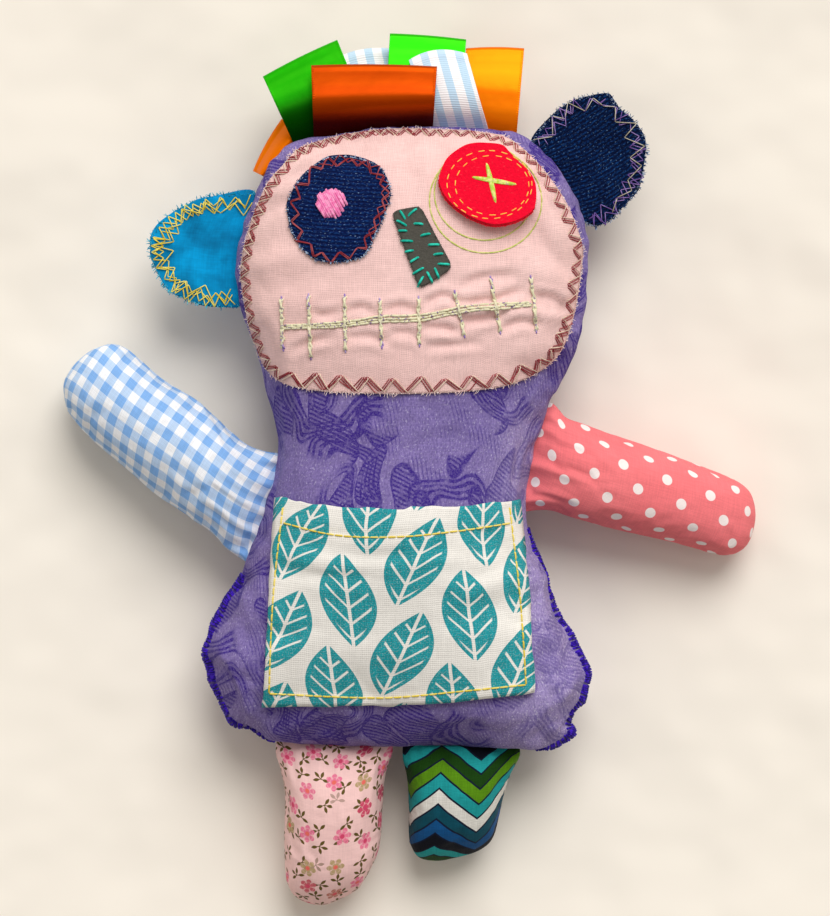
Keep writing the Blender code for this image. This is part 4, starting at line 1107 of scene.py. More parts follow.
cross = sewn("felt_button_cross", strands, 0.24, olive, "felt_button", 0.5)
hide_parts("felt_button_cross_stitch")

# Two circles of fine back stitch on the linen round the felt button.
# They stay on the face when the button tilts.
CIRCLE_STITCHES = 34
circle_thread = thread("fine_olive_thread", ((0.52, 0.60, 0.13), (0.66, 0.68, 0.24)), 2.0)
strands = []
for middle, reach_x, reach_y in (((21.1, 86.2), 15.2, 14.4), ((21.6, 83.8), 17.1, 15.9)):
    for index in range(CIRCLE_STITCHES):
        turns = [2 * math.pi * (index + part) / CIRCLE_STITCHES for part in (0.02, 0.5, 0.98)]
        spots = [on_ring(middle, reach_x, reach_y, turn) for turn in turns]
        strands.append([head(*spots[0], -0.1), head(*spots[1], 0.14), head(*spots[2], -0.1)])
        strands[-1].insert(1, head(*(np.array(spots[0]) * 0.7 + np.array(spots[1]) * 0.3), 0.14))
        strands[-1].insert(3, head(*(np.array(spots[2]) * 0.7 + np.array(spots[1]) * 0.3), 0.14))
circles = sewn("eye_circles_back_stitch", strands, 0.22, circle_thread, "torso")


# Nose: a strip of charcoal felt with a faint fuzz at its edge.
# It is held by sixteen straight stitches of teal floss.
NOSE_EDGE = (
    (3.2, 56.7), (4.6, 57.4), (10.7, 61.7), (11.8, 63.1), (11.5, 64.7), (2.5, 80.0),
    (1.2, 81.1), (-0.4, 80.8), (-5.2, 79.6), (-6.4, 78.6), (-6.1, 77.0), (1.9, 57.8),
)
NOSE_MARKS = (0, 3, 6, 9)
NOSE_STITCHES = (
    (-4.3, 79.7, -2.7, 77.4), (0.6, 80.5, -1.7, 78.4), (-5.1, 76.7, -2.3, 75.3), (2.7, 75.9, 0.2, 76.0),
    (-4.6, 73.6, -2.1, 73.7), (5.0, 73.1, 2.4, 72.4), (-3.7, 70.6, -0.2, 70.6), (8.0, 69.9, 4.8, 69.7),
    (-2.2, 67.3, 0.1, 67.8), (9.1, 67.2, 6.6, 66.8), (-0.7, 64.1, 1.8, 65.8), (11.3, 64.0, 8.0, 64.0),
    (0.4, 60.6, 3.4, 62.6), (6.4, 58.3, 4.7, 61.4), (8.3, 59.7, 7.0, 62.6), (2.0, 56.8, 3.5, 59.9),
)
charcoal = felt("charcoal_felt", (0.085, 0.080, 0.068))
nose = laid_patch("nose_felt", NOSE_EDGE, NOSE_MARKS, 12, 26, head, 0.1, 1.1, charcoal, smooth=False)
soften_rim(nose, 0.4, 2)
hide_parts("nose_patch")
nose_top = partial(seen, surface_of(body, face, nose))
teal_floss = thread("teal_floss", ((0.006, 0.40, 0.30), (0.03, 0.62, 0.47)), 1.5, 0.4)
strands = [stitch(nose_top, spot[:2], spot[2:], 0.42, 0.2) for spot in NOSE_STITCHES]
sewn("nose_edge_stitches", strands, 0.38, teal_floss, "torso")
nose_border = Border([*NOSE_EDGE, NOSE_EDGE[0]])
fuzz = frayed(nose_top, nose_border, 160, 0.5, 0.4, draw)
nose_fuzz = sewn("nose_felt_fuzz", fuzz, 0.06, charcoal, "torso", 0.4)


# Mouth: three rows of back stitch in cream floss, crossed by eight bars of two strands twisted together.
# A second, lilac thread shows at the ends of the bars.
MOUTH_LINE = (
    (-38.9, 42.9), (-29.0, 43.6), (-19.7, 44.6), (-7.9, 46.6), (3.1, 47.3), (13.7, 49.9), (24.3, 51.5),
    (37.0, 53.0),
)
MOUTH_BARS = (
    ((-39.3, 51.4), (-38.1, 36.3)), ((-31.1, 52.6), (-29.6, 34.0)), ((-20.1, 52.9), (-19.2, 36.6)),
    ((-9.4, 52.1), (-8.2, 38.2)), ((2.4, 53.2), (3.2, 39.2)), ((13.4, 55.4), (16.8, 42.5)),
    ((24.1, 60.2), (27.6, 44.1)), ((36.3, 60.9), (38.6, 44.9)),
)
BAR_TWIST = 3.0
BAR_SWING = 0.42
cream = thread("cream_floss", ((0.80, 0.76, 0.52), (0.70, 0.66, 0.46), (0.30, 0.20, 0.34)), 1.4)
lilac = thread("lilac_thread", ((0.30, 0.20, 0.52), (0.46, 0.36, 0.62)), 1.4)
draw = random.Random(47)
mouth_border = Border(rounded(MOUTH_LINE, steps=8))
strands = []
for offset, start in ((-0.85, 0.0), (0.0, 1.4), (0.85, 0.7)):
    along = start
    while along < mouth_border.length - 1:
        length = draw.uniform(2.7, 3.5)
        squeeze = 0.55 + 0.45 * math.sin(math.pi * along / mouth_border.length)
        ends = [mouth_border.at(spot, offset * squeeze)[0] for spot in (along, along + length)]
        strands.append(stitch(head, *ends, 0.36 + draw.uniform(-0.06, 0.06), 0.15))
        along += length * 0.98
tips = []
for top, low in MOUTH_BARS:
    top, low = np.array(top), np.array(low)
    length = np.linalg.norm(low - top)
    way = (low - top) / length
    side = np.array([-way[1], way[0]])
    for turn in (0, 1):
        count = round(length / BAR_TWIST)
        for index in range(count):
            swing = BAR_SWING * (1 if (index + turn) % 2 else -1)
            first = top + way * (length * index / count - 0.3 * (index > 0)) + side * swing
            second = top + way * (length * (index + 1) / count + 0.3 * (index < count - 1)) - side * swing
            run = stitch(head, first, second, 0.62 + draw.uniform(-0.1, 0.15), 0.15)
            (tips if index in (0, count - 1) and draw.random() < 0.3 else strands).append(run)
    for end, sign in ((top, -1), (low, 1)):
        tips.append(stitch(head, end + way * sign * -0.6, end + way * sign * 0.9, 0.2, 0.3))
mouth = sewn("mouth_stitches", strands, 0.37, cream, "torso", 0.75)
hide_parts("mouth_embroidery")
mouth_tips = sewn("mouth_bar_ends", tips, 0.26, lilac, "torso", 0.6)


# Apron pocket: printed canvas with turned edges, sewn down at both sides and the bottom.
# Its mouth dips in the middle and stands a little open.
POCKET_EDGE = (
    (-39.7, -72.2), (-4.0, -70.6), (18.0, -68.6), (42.1, -65.0), (38.6, -35.0), (34.3, -6.7),
    (20.0, -9.6), (4.2, -11.3), (-11.3, -12.6), (-24.0, -11.6), (-37.4, -9.3), (-38.6, -40.0),
)
POCKET_MARKS = (0, 3, 5, 10)
POCKET_HEM = 3.6
POCKET_OPEN = 4.2
POCKET_WIDTH = 75
POCKET_HEIGHT = 62
TOPSTITCH = 2.7
LEAF_COLUMN = 18.4
LEAF_ROW = 28.5
POCKET_CREASES = (
    (((-33.0, -23.5), (-10.0, -26.0), (14.0, -23.0)), 0.5),
    (((-36.0, -30.0), (-22.0, -33.0), (-8.0, -31.0)), 0.35),
    (((8.0, -29.0), (22.0, -31.0), (33.0, -27.0)), 0.35),
)


def leaf_canvas():
    """Off-white canvas printed with rows of large teal leaves, pale along the midrib and the veins."""
    cloth = Finish("teal_print_canvas")
    x, y = cloth.pattern()
    turn = math.radians(-9)
    along = x * -math.sin(turn) + y * math.cos(turn)
    across = x * math.cos(turn) + y * math.sin(turn)
    column = (across + 6.0) / LEAF_COLUMN
    odd = cloth.maths("PINGPONG", cloth.maths("FLOOR", column), 1.0)
    aside = (cloth.maths("FRACT", column) - 0.5) * LEAF_COLUMN
    row = along / LEAF_ROW + odd * 0.5
    ahead = (cloth.maths("FRACT", row) - 0.5) * LEAF_ROW
    bend = ahead * 0.28 * (odd * 2.0 - 1.0)
    aside = aside + bend
    tip = (ahead / (LEAF_ROW * 0.49)) ** 2.0
    width = (1.0 - tip) * (LEAF_COLUMN * 0.47)
    off = abs(aside)
    leaf = cloth.step(width - off, -0.08, 0.12)
    midrib = cloth.step(off, 0.45, 0.60)
    slant = ahead - off * 0.85
    slant = cloth.maths("FRACT", slant / (LEAF_ROW / 6))
    vein = cloth.step(abs(slant - 0.5), 0.06, 0.12)
    vein = cloth.maths("MAXIMUM", vein, cloth.step(width - off, 1.9, 1.4))
    ink = leaf * midrib * vein
    rub = cloth.step(cloth.noise(cloth.join(x, y), 0.45, 2.0), 0.25, 0.5)
    ink = ink * (rub * 0.3 + 0.7)
    ground = cloth.slubs((0.86, 0.83, 0.78), 0.06, 0.5)
    teal = cloth.slubs((0.016, 0.36, 0.41), 0.20, 0.5)
    color = cloth.weave(0.62, 0.10, cloth.mix(ink, ground, teal), 0.82)
    cloth.crumple(0.4, 9)
    return cloth.done(color)


def pocket_lift(plan):
    rows, columns = plan.shape[:2]
    u = np.linspace(0, 1, columns)[None, :]
    v = np.linspace(0, 1, rows)[:, None]
    mouth = np.sin(math.pi * u) ** 0.8 * ease((v - 0.35) / 0.65)
    rim = np.minimum(np.minimum(u, 1 - u) * POCKET_WIDTH, v * POCKET_HEIGHT)
    rim = np.minimum(rim, np.maximum((1 - v) * POCKET_HEIGHT, 0) * POCKET_HEM / 8)
    folded = 0.45 * (1 - ease((rim - POCKET_HEM + 1) / 1.2))
    return 0.8 + POCKET_OPEN * mouth + folded + creased(plan, POCKET_CREASES, 1.8)


pocket = laid_patch(
    "pocket_canvas", POCKET_EDGE, POCKET_MARKS, 60, 54, partial(seen, bag), pocket_lift, 0.7,
    leaf_canvas(), smooth=False,
)
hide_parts("pocket")
pocket_top = partial(seen, surface_of(pocket))

# Topstitching of the pocket in yellow thread: down both sides, along the bottom
# and along the hem of the mouth.
POCKET_SEAM = (
    (-36.3, -12.0), (-38.2, -40.0), (-38.3, -69.0), (-5.0, -69.0), (20.0, -66.0), (39.9, -63.2),
    (36.9, -36.0), (32.6, -9.2),
)
HEM_SEAM = ((-36.2, -16.8), (-19.5, -20.0), (-0.9, -19.7), (15.8, -17.4), (33.2, -14.1))
yellow = thread("yellow_thread", ((0.76, 0.58, 0.07), (0.84, 0.68, 0.16)), 3.0)
strands = []
corners = (0, 2, 5, 7)
for first, second in zip(corners, corners[1:]):
    strands.append(rounded(POCKET_SEAM[first : second + 1], steps=8))
strands.append(rounded(HEM_SEAM, steps=8))
stitches = []
for line in strands:
    border = Border(line)
    count = round(border.length / TOPSTITCH)
    for index in range(count):
        ends = [border.at(border.length * (index + part) / count)[0] for part in (0.06, 0.94)]
        stitches.append(stitch(pocket_top, *ends, 0.2, 0.25))
topstitching = sewn("pocket_topstitches", stitches, 0.27, yellow, "torso")
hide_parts("pocket_topstitching")


# Whip stitching: both lower sides were closed by hand from outside.
# The thick violet thread is wound over the edge.
violet = thread("violet_thread", ((0.016, 0.003, 0.20), (0.050, 0.012, 0.46)), 1.2, 0.75)
body_surface = surface_of(body)


def beside(x, y, z, lift):
    """The nearest place on the bag, lifted off it."""
    hit, normal, _, _ = body_surface.find_nearest(Vector((x, y, z)) * MM)
    return np.array(hit + normal * lift * MM) / MM


whipped_edges = (
    ("left_whip_stitches", "left_side_whip_stitching", BODY_LEFT + BODY_BOTTOM[:3], WHIPPED_TOP[0]),
    ("right_whip_stitches", "right_side_whip_stitching", BODY_BOTTOM[-2:] + BODY_RIGHT, WHIPPED_TOP[1]),
)
for name, node, edge, high in whipped_edges:
    line = rounded(edge, steps=12)
    line = Border(line[line[:, 1] < high])
    draw = random.Random(len(name))
    wraps = []
    count = round(line.length / WHIP_SPACING)
    for index in range(count):
        along = line.length * (index + draw.uniform(-0.4, 0.4)) / count
        reach = draw.uniform(1.0, 2.2)
        slant = draw.uniform(-0.5, 1.0)
        run = []
        for share, lift in ((1.0, -0.3), (0.95, 0.2), (0.6, 0.35), (0.3, 0.35), (0.0, 0.15)):
            run.append((line.at(along + slant * share, reach * share)[0], 1, share, lift))
        for share, lift in ((0.3, 0.35), (0.6, 0.35), (0.95, 0.2), (1.0, -0.3)):
            run.append((line.at(along - slant * share, reach * share)[0], -1, share, lift))
        wraps.append([beside(*spot, SEAM + side * 4 * share, lift) for spot, side, share, lift in run])
    whips = sewn(name, wraps, 0.33, violet, "torso")
    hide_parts(node)


# Limbs: each is a tube of cotton sewn flat into the seam and filled out to its round tip.
# The left edge is on the left as one looks along the limb from the seam.
def limb(name, root, right, tip, left, thick, flare, rounding, finish, seed):
    """One filled limb. The thickness is given at the middle of the root and at the tip."""
    u, v = shares(34, 0.75), shares(56, 0.35)
    plan = between(rounded(root), rounded(right), rounded(tip), rounded(left), u, v)
    length = np.linalg.norm(np.mean(right[-1:] + left[-1:], axis=0) - np.mean(root, axis=0))
    along = v[:, None] * length
    radius = (thick[0] + (thick[1] - thick[0]) * v[:, None]) / 2
    opening = np.sin(math.pi / 2 * np.minimum(along / flare, 1)) ** 0.8
    past = np.maximum(along - (length - rounding), 0) / rounding
    a, b = 1 - (2 * u[None, :] - 1) ** 2, 1 - past**2
    joint = a + b - a * b
    full = np.sqrt(np.maximum(np.where(joint > 1e-6, a * b / np.maximum(joint, 1e-6), 0), 0))
    half = radius * opening * full
    middle = SEAM - (SEAM - thick[1] / 2 - 0.4) * v[:, None]
    draw = random.Random(seed)
    waves = sum(
        np.sin(2 * math.pi * (count * u[None, :] + draw.random())) * draw.uniform(0.25, 0.5)
        for count in (3, 4, 6, 9)
    )
    gathers = 1.7 * waves * np.exp(-along / 7.5) * ease(along / 3.5) * np.minimum(1, 6 * a)
    front = np.dstack([drawn_at(plan, middle + half), middle + half + gathers])
    back = np.dstack([drawn_at(plan, middle + half), np.maximum(middle - half - gathers * 0.7, 0.3)])
    rim = (full < 1e-6) | (along < 1e-6) | (a < 1e-6)
    rim_height = np.broadcast_to(middle, rim.shape)
    front[..., 2] = np.where(rim, rim_height, front[..., 2])
    back[..., 2] = np.where(rim, rim_height, back[..., 2])
    back[..., :2] = front[..., :2]
    cover = into_object(name + "_cloth", sewn_bag(front, back), finish, None)
    start = read_points(cover.data)
    seamed = np.zeros(len(start), bool)
    rims = front[rim]
    for index, spot in enumerate(start):
        seamed[index] = np.linalg.norm(rims - spot, axis=1).min() < 1e-3
    move = stuffed(cover, seamed, pressure=3.5, slack=0.022, rounds=12, limit=0.9)
    spots = start + move
    spots[:, 2] = np.maximum(spots[:, 2], 0.2)
    write_points(cover.data, spots)
    rounded_off(cover)
    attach(cover, name)
    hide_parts(name + "_cover", name + "_stuffing")


def gingham():
    """Woven gingham: white, mixed and full blue squares, about 6 mm from blue to blue."""
    cloth = Finish("blue_gingham")
    x, y = cloth.pattern()
    bands = []
    for value, repeat in ((x, 6.3), (y, 5.95)):
        turn = cloth.maths("FRACT", value / repeat + 0.25)
        off = abs(turn - 0.5)
        bands.append(cloth.step(off, 0.262, 0.238))
    total = cloth.maths("ADD", *bands)
    color = cloth.mix(cloth.maths("MINIMUM", total, 1.0), (0.92, 0.935, 0.975), (0.52, 0.68, 0.92))
    color = cloth.mix(cloth.maths("MAXIMUM", total - 1.0, 0.0), color, (0.235, 0.46, 0.86))
    color = cloth.slubs(color, 0.08, 0.4)
    color = cloth.weave(0.42, 0.05, color, 0.86)
    cloth.crumple(0.5, 8)
    return cloth.done(color)


def polka_dots(heading):
    """Coral cotton with white dots, printed at a slant to the arm."""
    cloth = Finish("coral_polka_dot")
    x, y = cloth.pattern()
    right = np.array([math.sin(heading), -math.cos(heading)])
    ahead = np.array([math.cos(heading), math.sin(heading)])
    steps = np.array([(9.76, 2.75), (3.8, -7.2)]) @ np.array([right, ahead]).T
    back = np.linalg.inv(steps.T)
    rest = []
    for row in back:
        share = x * row[0] + y * row[1]
        rest.append(cloth.maths("FRACT", share + 0.5) - 0.5)
    ways = []
    for axis in (0, 1):
        value = rest[0] * steps[0][axis] + rest[1] * steps[1][axis]
        ways.append(value ** 2.0)
    gap = cloth.maths("SQRT", cloth.maths("ADD", *ways))
    dot = cloth.step(gap, 1.72, 1.54)
    ground = cloth.mix(cloth.noise(cloth.join(x, y), 20, 2.0), (0.90, 0.175, 0.195), (0.97, 0.245, 0.26))
    ground = cloth.slubs(ground, 0.08, 0.4)
    color = cloth.weave(0.42, 0.05, cloth.mix(dot, ground, (0.90, 0.80, 0.78)), 0.86)
    cloth.crumple(0.5, 8)
    return cloth.done(color)


limb(
    "gingham_arm",
    ((-45.8, -30.0), (-41.6, -19.6), (-38.2, -8.0), (-35.4, 4.4)),
    ((-35.4, 4.4), (-43.0, 4.9), (-50.3, 7.9), (-62.9, 18.7), (-74.8, 25.5), (-86.2, 34.6), (-92.0, 35.6)),
    ((-103.3, 14.8), (-105.2, 22.6), (-102.7, 28.4), (-97.4, 33.4), (-92.0, 35.6)),
    (
        (-45.8, -30.0), (-52.9, -25.2), (-58.0, -20.5), (-65.5, -15.6), (-75.9, -8.7), (-85.9, -0.9),
        (-96.9, 7.4), (-103.3, 14.8),
    ),
    (31, 28), 24, 11, gingham(), 3,
)
limb(
    "polka_dot_arm",
    ((40.6, 22.4), (37.4, 12.0), (35.4, 2.0), (34.6, -11.1)),
    ((34.6, -11.1), (44.0, -9.6), (53.1, -11.7), (68.5, -14.8), (83.8, -17.5), (97.5, -21.0)),
    ((101.0, 1.6), (106.3, -1.9), (108.3, -9.0), (106.6, -17.0), (102.6, -20.6), (97.5, -21.0)),
    (
        (40.6, 22.4), (42.8, 23.3), (45.0, 22.8), (46.9, 20.8), (48.8, 18.7), (53.1, 17.0), (61.8, 14.0),
        (76.6, 9.7), (89.3, 5.6), (101.0, 1.6),
    ),
    (29, 23), 24, 9, polka_dots(math.radians(-14.3)), 5,
)


def flower_cotton():
    """Pale pink cotton with small scattered blooms in pink, rose and beige, and olive sprigs."""
    cloth = Finish("pale_pink_floral")
    x, y = cloth.pattern()
    flat = cloth.join(x, y)

    def motifs(size, offset):
        """Places round each motif's middle, turned at random, and the motif's own random number."""
        moved = cloth.vectors("ADD", flat, offset)
        found = cloth.cells(moved, size, 0.55).outputs
        kind, spin, _ = cloth.split(Value(cloth, found["Color"]))
        local = cloth.vectors("SUBTRACT", moved, Value(cloth, found["Position"]))
        return cloth.turned(local, spin * (2 * math.pi)), kind

    bloom, kind = motifs(8.8, (3.0, 5.0, 0.0))
    bloom_x, bloom_y, _ = cloth.split(bloom)
    size = cloth.value("ShaderNodeVectorMath", {0: bloom}, "Value", operation="LENGTH")
    angle = cloth.maths("ARCTAN2", bloom_y, bloom_x)
    lobes = cloth.maths("COSINE", angle * 6.0)
    edge = lobes * 0.34 + 2.55
    petals = cloth.step(edge - size, -0.05, 0.15)
    gaps = cloth.step(lobes, -0.45, -0.9) * cloth.step(size, 0.9, 1.3)
    curved = cloth.maths("SINE", size * 5.2 + angle)
    gaps = cloth.maths("MAXIMUM", gaps, cloth.step(curved, 0.5, 0.9) * 0.45)
    petals = petals * (1.0 - gaps * 0.7)
    heart = cloth.step(size, 0.80, 0.62)
    there = cloth.step(kind, 0.86, 0.85)
    petal_color = cloth.mix(cloth.step(kind, 0.30, 0.31), (0.80, 0.20, 0.31), (0.62, 0.07, 0.14))
    petal_color = cloth.mix(cloth.step(kind, 0.42, 0.43), petal_color, (0.46, 0.33, 0.17))
    petal_color = cloth.mix(cloth.step(kind, 0.58, 0.59), petal_color, (0.78, 0.19, 0.31))
    heart_color = cloth.mix(cloth.step(kind, 0.42, 0.43), (0.62, 0.06, 0.14), (0.78, 0.15, 0.12))

    color = cloth.slubs((0.92, 0.60, 0.575), 0.05, 0.4)
    sprig, chance = motifs(6.5, (17.0, 1.0, 0.0))
    leaves = None
    for turn, reach in ((0.0, 1.75), (1.1, 1.45), (-1.1, 1.45), (2.6, 1.6)):
        ahead, aside, _ = cloth.split(cloth.turned(sprig, turn))
        out = (ahead - reach) / 1.15
        width = (1.0 - out ** 2.0) * 0.52
        leaf = cloth.step(width - abs(aside), -0.02, 0.08)
        stem = cloth.step(abs(aside), 0.17, 0.1)
        stem = stem * cloth.step(abs(ahead - 0.7), 0.75, 0.7)
        leaf = cloth.maths("MAXIMUM", leaf, stem)
        leaves = leaf if leaves is None else cloth.maths("MAXIMUM", leaves, leaf)
    leaves = leaves * cloth.step(chance, 0.94, 0.93)
    color = cloth.mix(leaves, color, (0.125, 0.085, 0.020))
    color = cloth.mix(petals * there, color, petal_color)
    color = cloth.mix(heart * there, color, heart_color)
    color = cloth.weave(0.42, 0.05, color, 0.88)
    cloth.crumple(0.5, 8)
    return cloth.done(color)


def banded_cotton():
    """Printed cotton with bold peaked bands in teal, blue, green, black and white, edged in black."""
    cloth = Finish("teal_band_print")
    x, y = cloth.pattern()
    peak = cloth.maths("PINGPONG", x + 33.0, 13.0)
    slope = peak * 0.85
    value = (y + slope - 2.0) / 4.8
    part = cloth.maths("FRACT", value)
    row = cloth.maths("FLOOR", value)
    share = cloth.maths("FRACT", (row + 0.5) / 8.0)
    ramp = cloth.node("ShaderNodeValToRGB", {"Fac": share})
    ramp.color_ramp.interpolation = "CONSTANT"
    bands = (
        (0.014, 0.33, 0.34), (0.80, 0.78, 0.72), (0.004, 0.075, 0.115), (0.006, 0.085, 0.26),
        (0.003, 0.004, 0.010), (0.016, 0.36, 0.36), (0.010, 0.055, 0.004), (0.10, 0.27, 0.006),
    )
    stops = ramp.color_ramp.elements
    for index, band in enumerate(bands):
        stop = stops[index] if index < 2 else stops.new(index / len(bands))
        stop.position = index / len(bands)
        stop.color = (*band, 1)
    line = cloth.step(abs(part - 0.5), 0.41, 0.44)
    color = cloth.mix(line, Value(cloth, ramp.outputs[0]), (0.006, 0.010, 0.030))
    color = cloth.slubs(color, 0.12, 0.4)
    color = cloth.weave(0.5, 0.07, color, 0.84)
    cloth.crumple(0.4, 8)
    return cloth.done(color)


limb(
    "floral_leg",
    ((0.0, -82.6), (-12.0, -83.4), (-24.0, -82.8), (-35.4, -81.8)),
    (
        (-35.4, -81.8), (-35.6, -86.9), (-33.7, -92.1), (-31.9, -100.2), (-31.7, -111.8), (-31.1, -121.2),
        (-30.6, -126.0),
    ),
    (
        (-5.2, -121.0), (-8.6, -127.5), (-14.3, -131.2), (-19.5, -133.2), (-25.3, -132.2), (-28.6, -130.0),
        (-30.6, -126.0),
    ),
    ((0.0, -82.6), (0.1, -85.6), (-1.8, -92.0), (-2.4, -99.0), (-2.5, -113.0), (-5.2, -121.0)),
    (31, 26), 22, 10, flower_cotton(), 7,
)
limb(
    "print_leg",
    ((38.8, -81.9), (26.0, -82.0), (14.0, -82.4), (3.0, -82.3)),
    ((3.0, -82.3), (3.2, -87.1), (4.6, -91.7), (5.5, -97.5), (5.8, -104.3), (6.4, -112.6)),
    (
        (32.3, -108.6), (30.6, -112.2), (26.6, -115.0), (19.6, -117.1), (14.5, -118.2), (9.1, -117.2),
        (6.4, -112.6),
    ),
    ((38.8, -81.9), (38.9, -85.2), (36.3, -90.6), (34.4, -97.5), (32.3, -108.6)),
    (30, 25), 18, 8, banded_cotton(), 9,
)


# Ears: two raw-edged layers of cloth each, sewn into the side of the head and joined by rows of zigzag.
TURQUOISE_EDGE = (
    (-77.3, 58.1), (-73.8, 53.1), (-69.4, 50.5), (-63.5, 48.9), (-56.2, 48.5), (-51.5, 49.7),
    (-50.9, 60.0), (-50.4, 70.0),
    (-48.6, 83.0), (-58.5, 82.1), (-64.8, 80.9), (-69.9, 78.5), (-73.8, 76.3),
    (-77.9, 71.5), (-79.8, 67.2), (-79.3, 62.0),
)
TURQUOISE_MARKS = (0, 5, 8, 12)
DENIM_EAR_EDGE = (
    (50.3, 79.6), (55.3, 77.3), (59.2, 79.2), (62.7, 82.7), (67.3, 88.7),
    (68.9, 93.0), (70.0, 101.0), (68.6, 105.8), (65.2, 110.6),
    (59.9, 114.6), (57.6, 117.6), (52.5, 117.0), (45.8, 114.7), (40.3, 109.6),
    (34.6, 101.6), (41.5, 96.5), (46.8, 88.0),
)
DENIM_EAR_MARKS = (0, 4, 9, 13)
EAR_REACH = 27
EAR_THICKNESS = 0.55
EAR_LIFTS = {"front": 0.15, "back": -0.85}


def turquoise_cotton():
    """Turquoise cotton velveteen: soft, a little mottled, with a faint nap."""
    cloth = Finish("turquoise_cotton", 0.9, 0.03)
    x, y = cloth.pattern()
    flat = cloth.join(x, y)
    color = cloth.mix(
        cloth.step(cloth.noise(flat, 11, 3.0), 0.32, 0.68), (0.001, 0.18, 0.40), (0.001, 0.36, 0.76)
    )
    color = cloth.slubs(color, 0.10, 0.5)
    color = cloth.weave(0.35, 0.03, color, 0.88)
    cloth.crumple(0.7, 8)
    return cloth.done(color)


def bent_at_seam(piece, body_name, root, ahead, reach):
    """Cloth that is held in the seam. Its placement is baked into its mesh."""
    root, ahead = np.append(root, SEAM), np.append(ahead, 0.0)
    tuple((root + ahead * reach) * MM)
    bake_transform(piece)


def ear(name, edge, marks, finish, middle, curl, bend):
    """Two layers of one outline on each other. Gives back where places of the picture lie on them."""

    def place(x, y, lift=0.0):
        wave = 0.35 * math.sin(x * 0.33 + 1.3) * math.sin(y * 0.29 + 0.5)
        curled = curl * (math.hypot(x - middle[0], y - middle[1]) / EAR_REACH) ** 2
        height = SEAM + curled + wave + lift
        return np.append(drawn_at(np.array([x, y]), height), height)

    for part, lift in EAR_LIFTS.items():
        draw = random.Random(len(name) + len(part))
        ragged = [(x + draw.uniform(-0.65, 0.65), y + draw.uniform(-0.65, 0.65)) for x, y in edge]
        layer = laid_patch(
            f"{name}_{part}_cloth", ragged, marks, 32, 34, place, lift, EAR_THICKNESS, finish, None
        )
        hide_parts(f"{name}_{part}")
        bent_at_seam(layer, name, *bend)
    return place


def ear_trim(name, edge, start, stop, place, threads, fray, seed, bend):
    """Rows of zigzag along the free edge of an ear, and the loose fibres of its raw edge."""
    border = Border(rounded([*edge[start:], *edge[:stop]], steps=10))
    draw = random.Random(seed)

    def on_top(x, y, lift=0.0):
        return place(x, y, EAR_LIFTS["front"] + EAR_THICKNESS + lift)

    def at_back(x, y, lift=0.0):
        return place(x, y, -0.5 + lift)

    for part, (finish, slot, radius, rows) in enumerate(threads):
        passes = []
        for far, near, pitch, first, last, lift in rows:
            passes += zigzag(on_top, border, pitch, far, near, lift, draw, (first, last), 0.3)
        stitches = sewn(f"{name}_zigzag_{part + 1}", passes, radius, finish, None)
        if part == 0:
            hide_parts(f"{name}_stitching")
        bent_at_seam(stitches, name, *bend)
    fray_finish, fray_slot, count, reach = fray
    loose = frayed(on_top, border, count, reach, -0.4, draw)
    loose += frayed(at_back, border, count, reach, 0.0, draw)
    fringe = sewn(f"{name}_fray", loose, 0.12, fray_finish, None, 0.4)
    bent_at_seam(fringe, name, *bend)


TURQUOISE_BEND = ((-51.5, 66.0), (-1.0, 0.0), 9)
DENIM_BEND = ((45.5, 92.0), (0.77, 0.64), 9)
ear_place = ear(
    "turquoise_ear", TURQUOISE_EDGE, TURQUOISE_MARKS, turquoise_cotton(),
    (-51, 66), 1.2, TURQUOISE_BEND,
)
ear_yellow = thread("ear_yellow_thread", ((0.72, 0.57, 0.06), (0.86, 0.74, 0.15)), 3.0)
blue_fibre = thread("turquoise_fibre", ((0.010, 0.30, 0.46), (0.07, 0.50, 0.66)), 1.5, 0.9)
ear_trim(
    "turquoise_ear", TURQUOISE_EDGE, 8, 6, ear_place,
    ((ear_yellow, "yellow_thread", 0.17, (
        (0.6, 4.9, 5.6, 0.0, 1.0, 0.25), (0.9, 4.3, 5.2, 0.0, 1.0, 0.4), (0.4, 3.4, 4.4, 0.02, 1.0, 0.55),
        (1.2, 5.6, 7.8, 0.0, 0.98, 0.65),
    )),),
    (blue_fibre, "turquoise_cotton", 240, 1.6), 61, TURQUOISE_BEND,
)
ear_denim = denim("ear_denim", 1.3, 0.21, (0.0004, 0.003, 0.026), (0.004, 0.045, 0.175), (0.20, 0.36, 0.56))
denim_place = ear(
    "denim_ear", DENIM_EAR_EDGE, DENIM_EAR_MARKS, ear_denim,
    (45, 91), 1.0, DENIM_BEND,
)
ear_lilac = thread("ear_lilac_thread", ((0.15, 0.08, 0.30), (0.30, 0.20, 0.48)), 3.0)
ear_cream = thread("ear_cream_thread", ((0.42, 0.38, 0.26), (0.56, 0.52, 0.42)), 3.0)
ear_trim(
    "denim_ear", DENIM_EAR_EDGE, len(DENIM_EAR_EDGE), 15, denim_place,
    (
        (ear_lilac, "lilac_thread", 0.15, (
            (0.3, 3.6, 4.6, 0.0, 0.58, 0.25), (0.6, 4.4, 5.4, 0.04, 0.46, 0.35),
            (0.5, 4.0, 5.0, 0.55, 1.0, 0.45), (0.2, 2.8, 3.4, 0.80, 1.0, 0.55),
        )),
        (ear_cream, "cream_floss", 0.14, ((0.6, 4.2, 8.2, 0.16, 0.98, 0.6),)),
    ),
    (pale_indigo, "dark_denim", 260, 1.2), 67, DENIM_BEND,
)


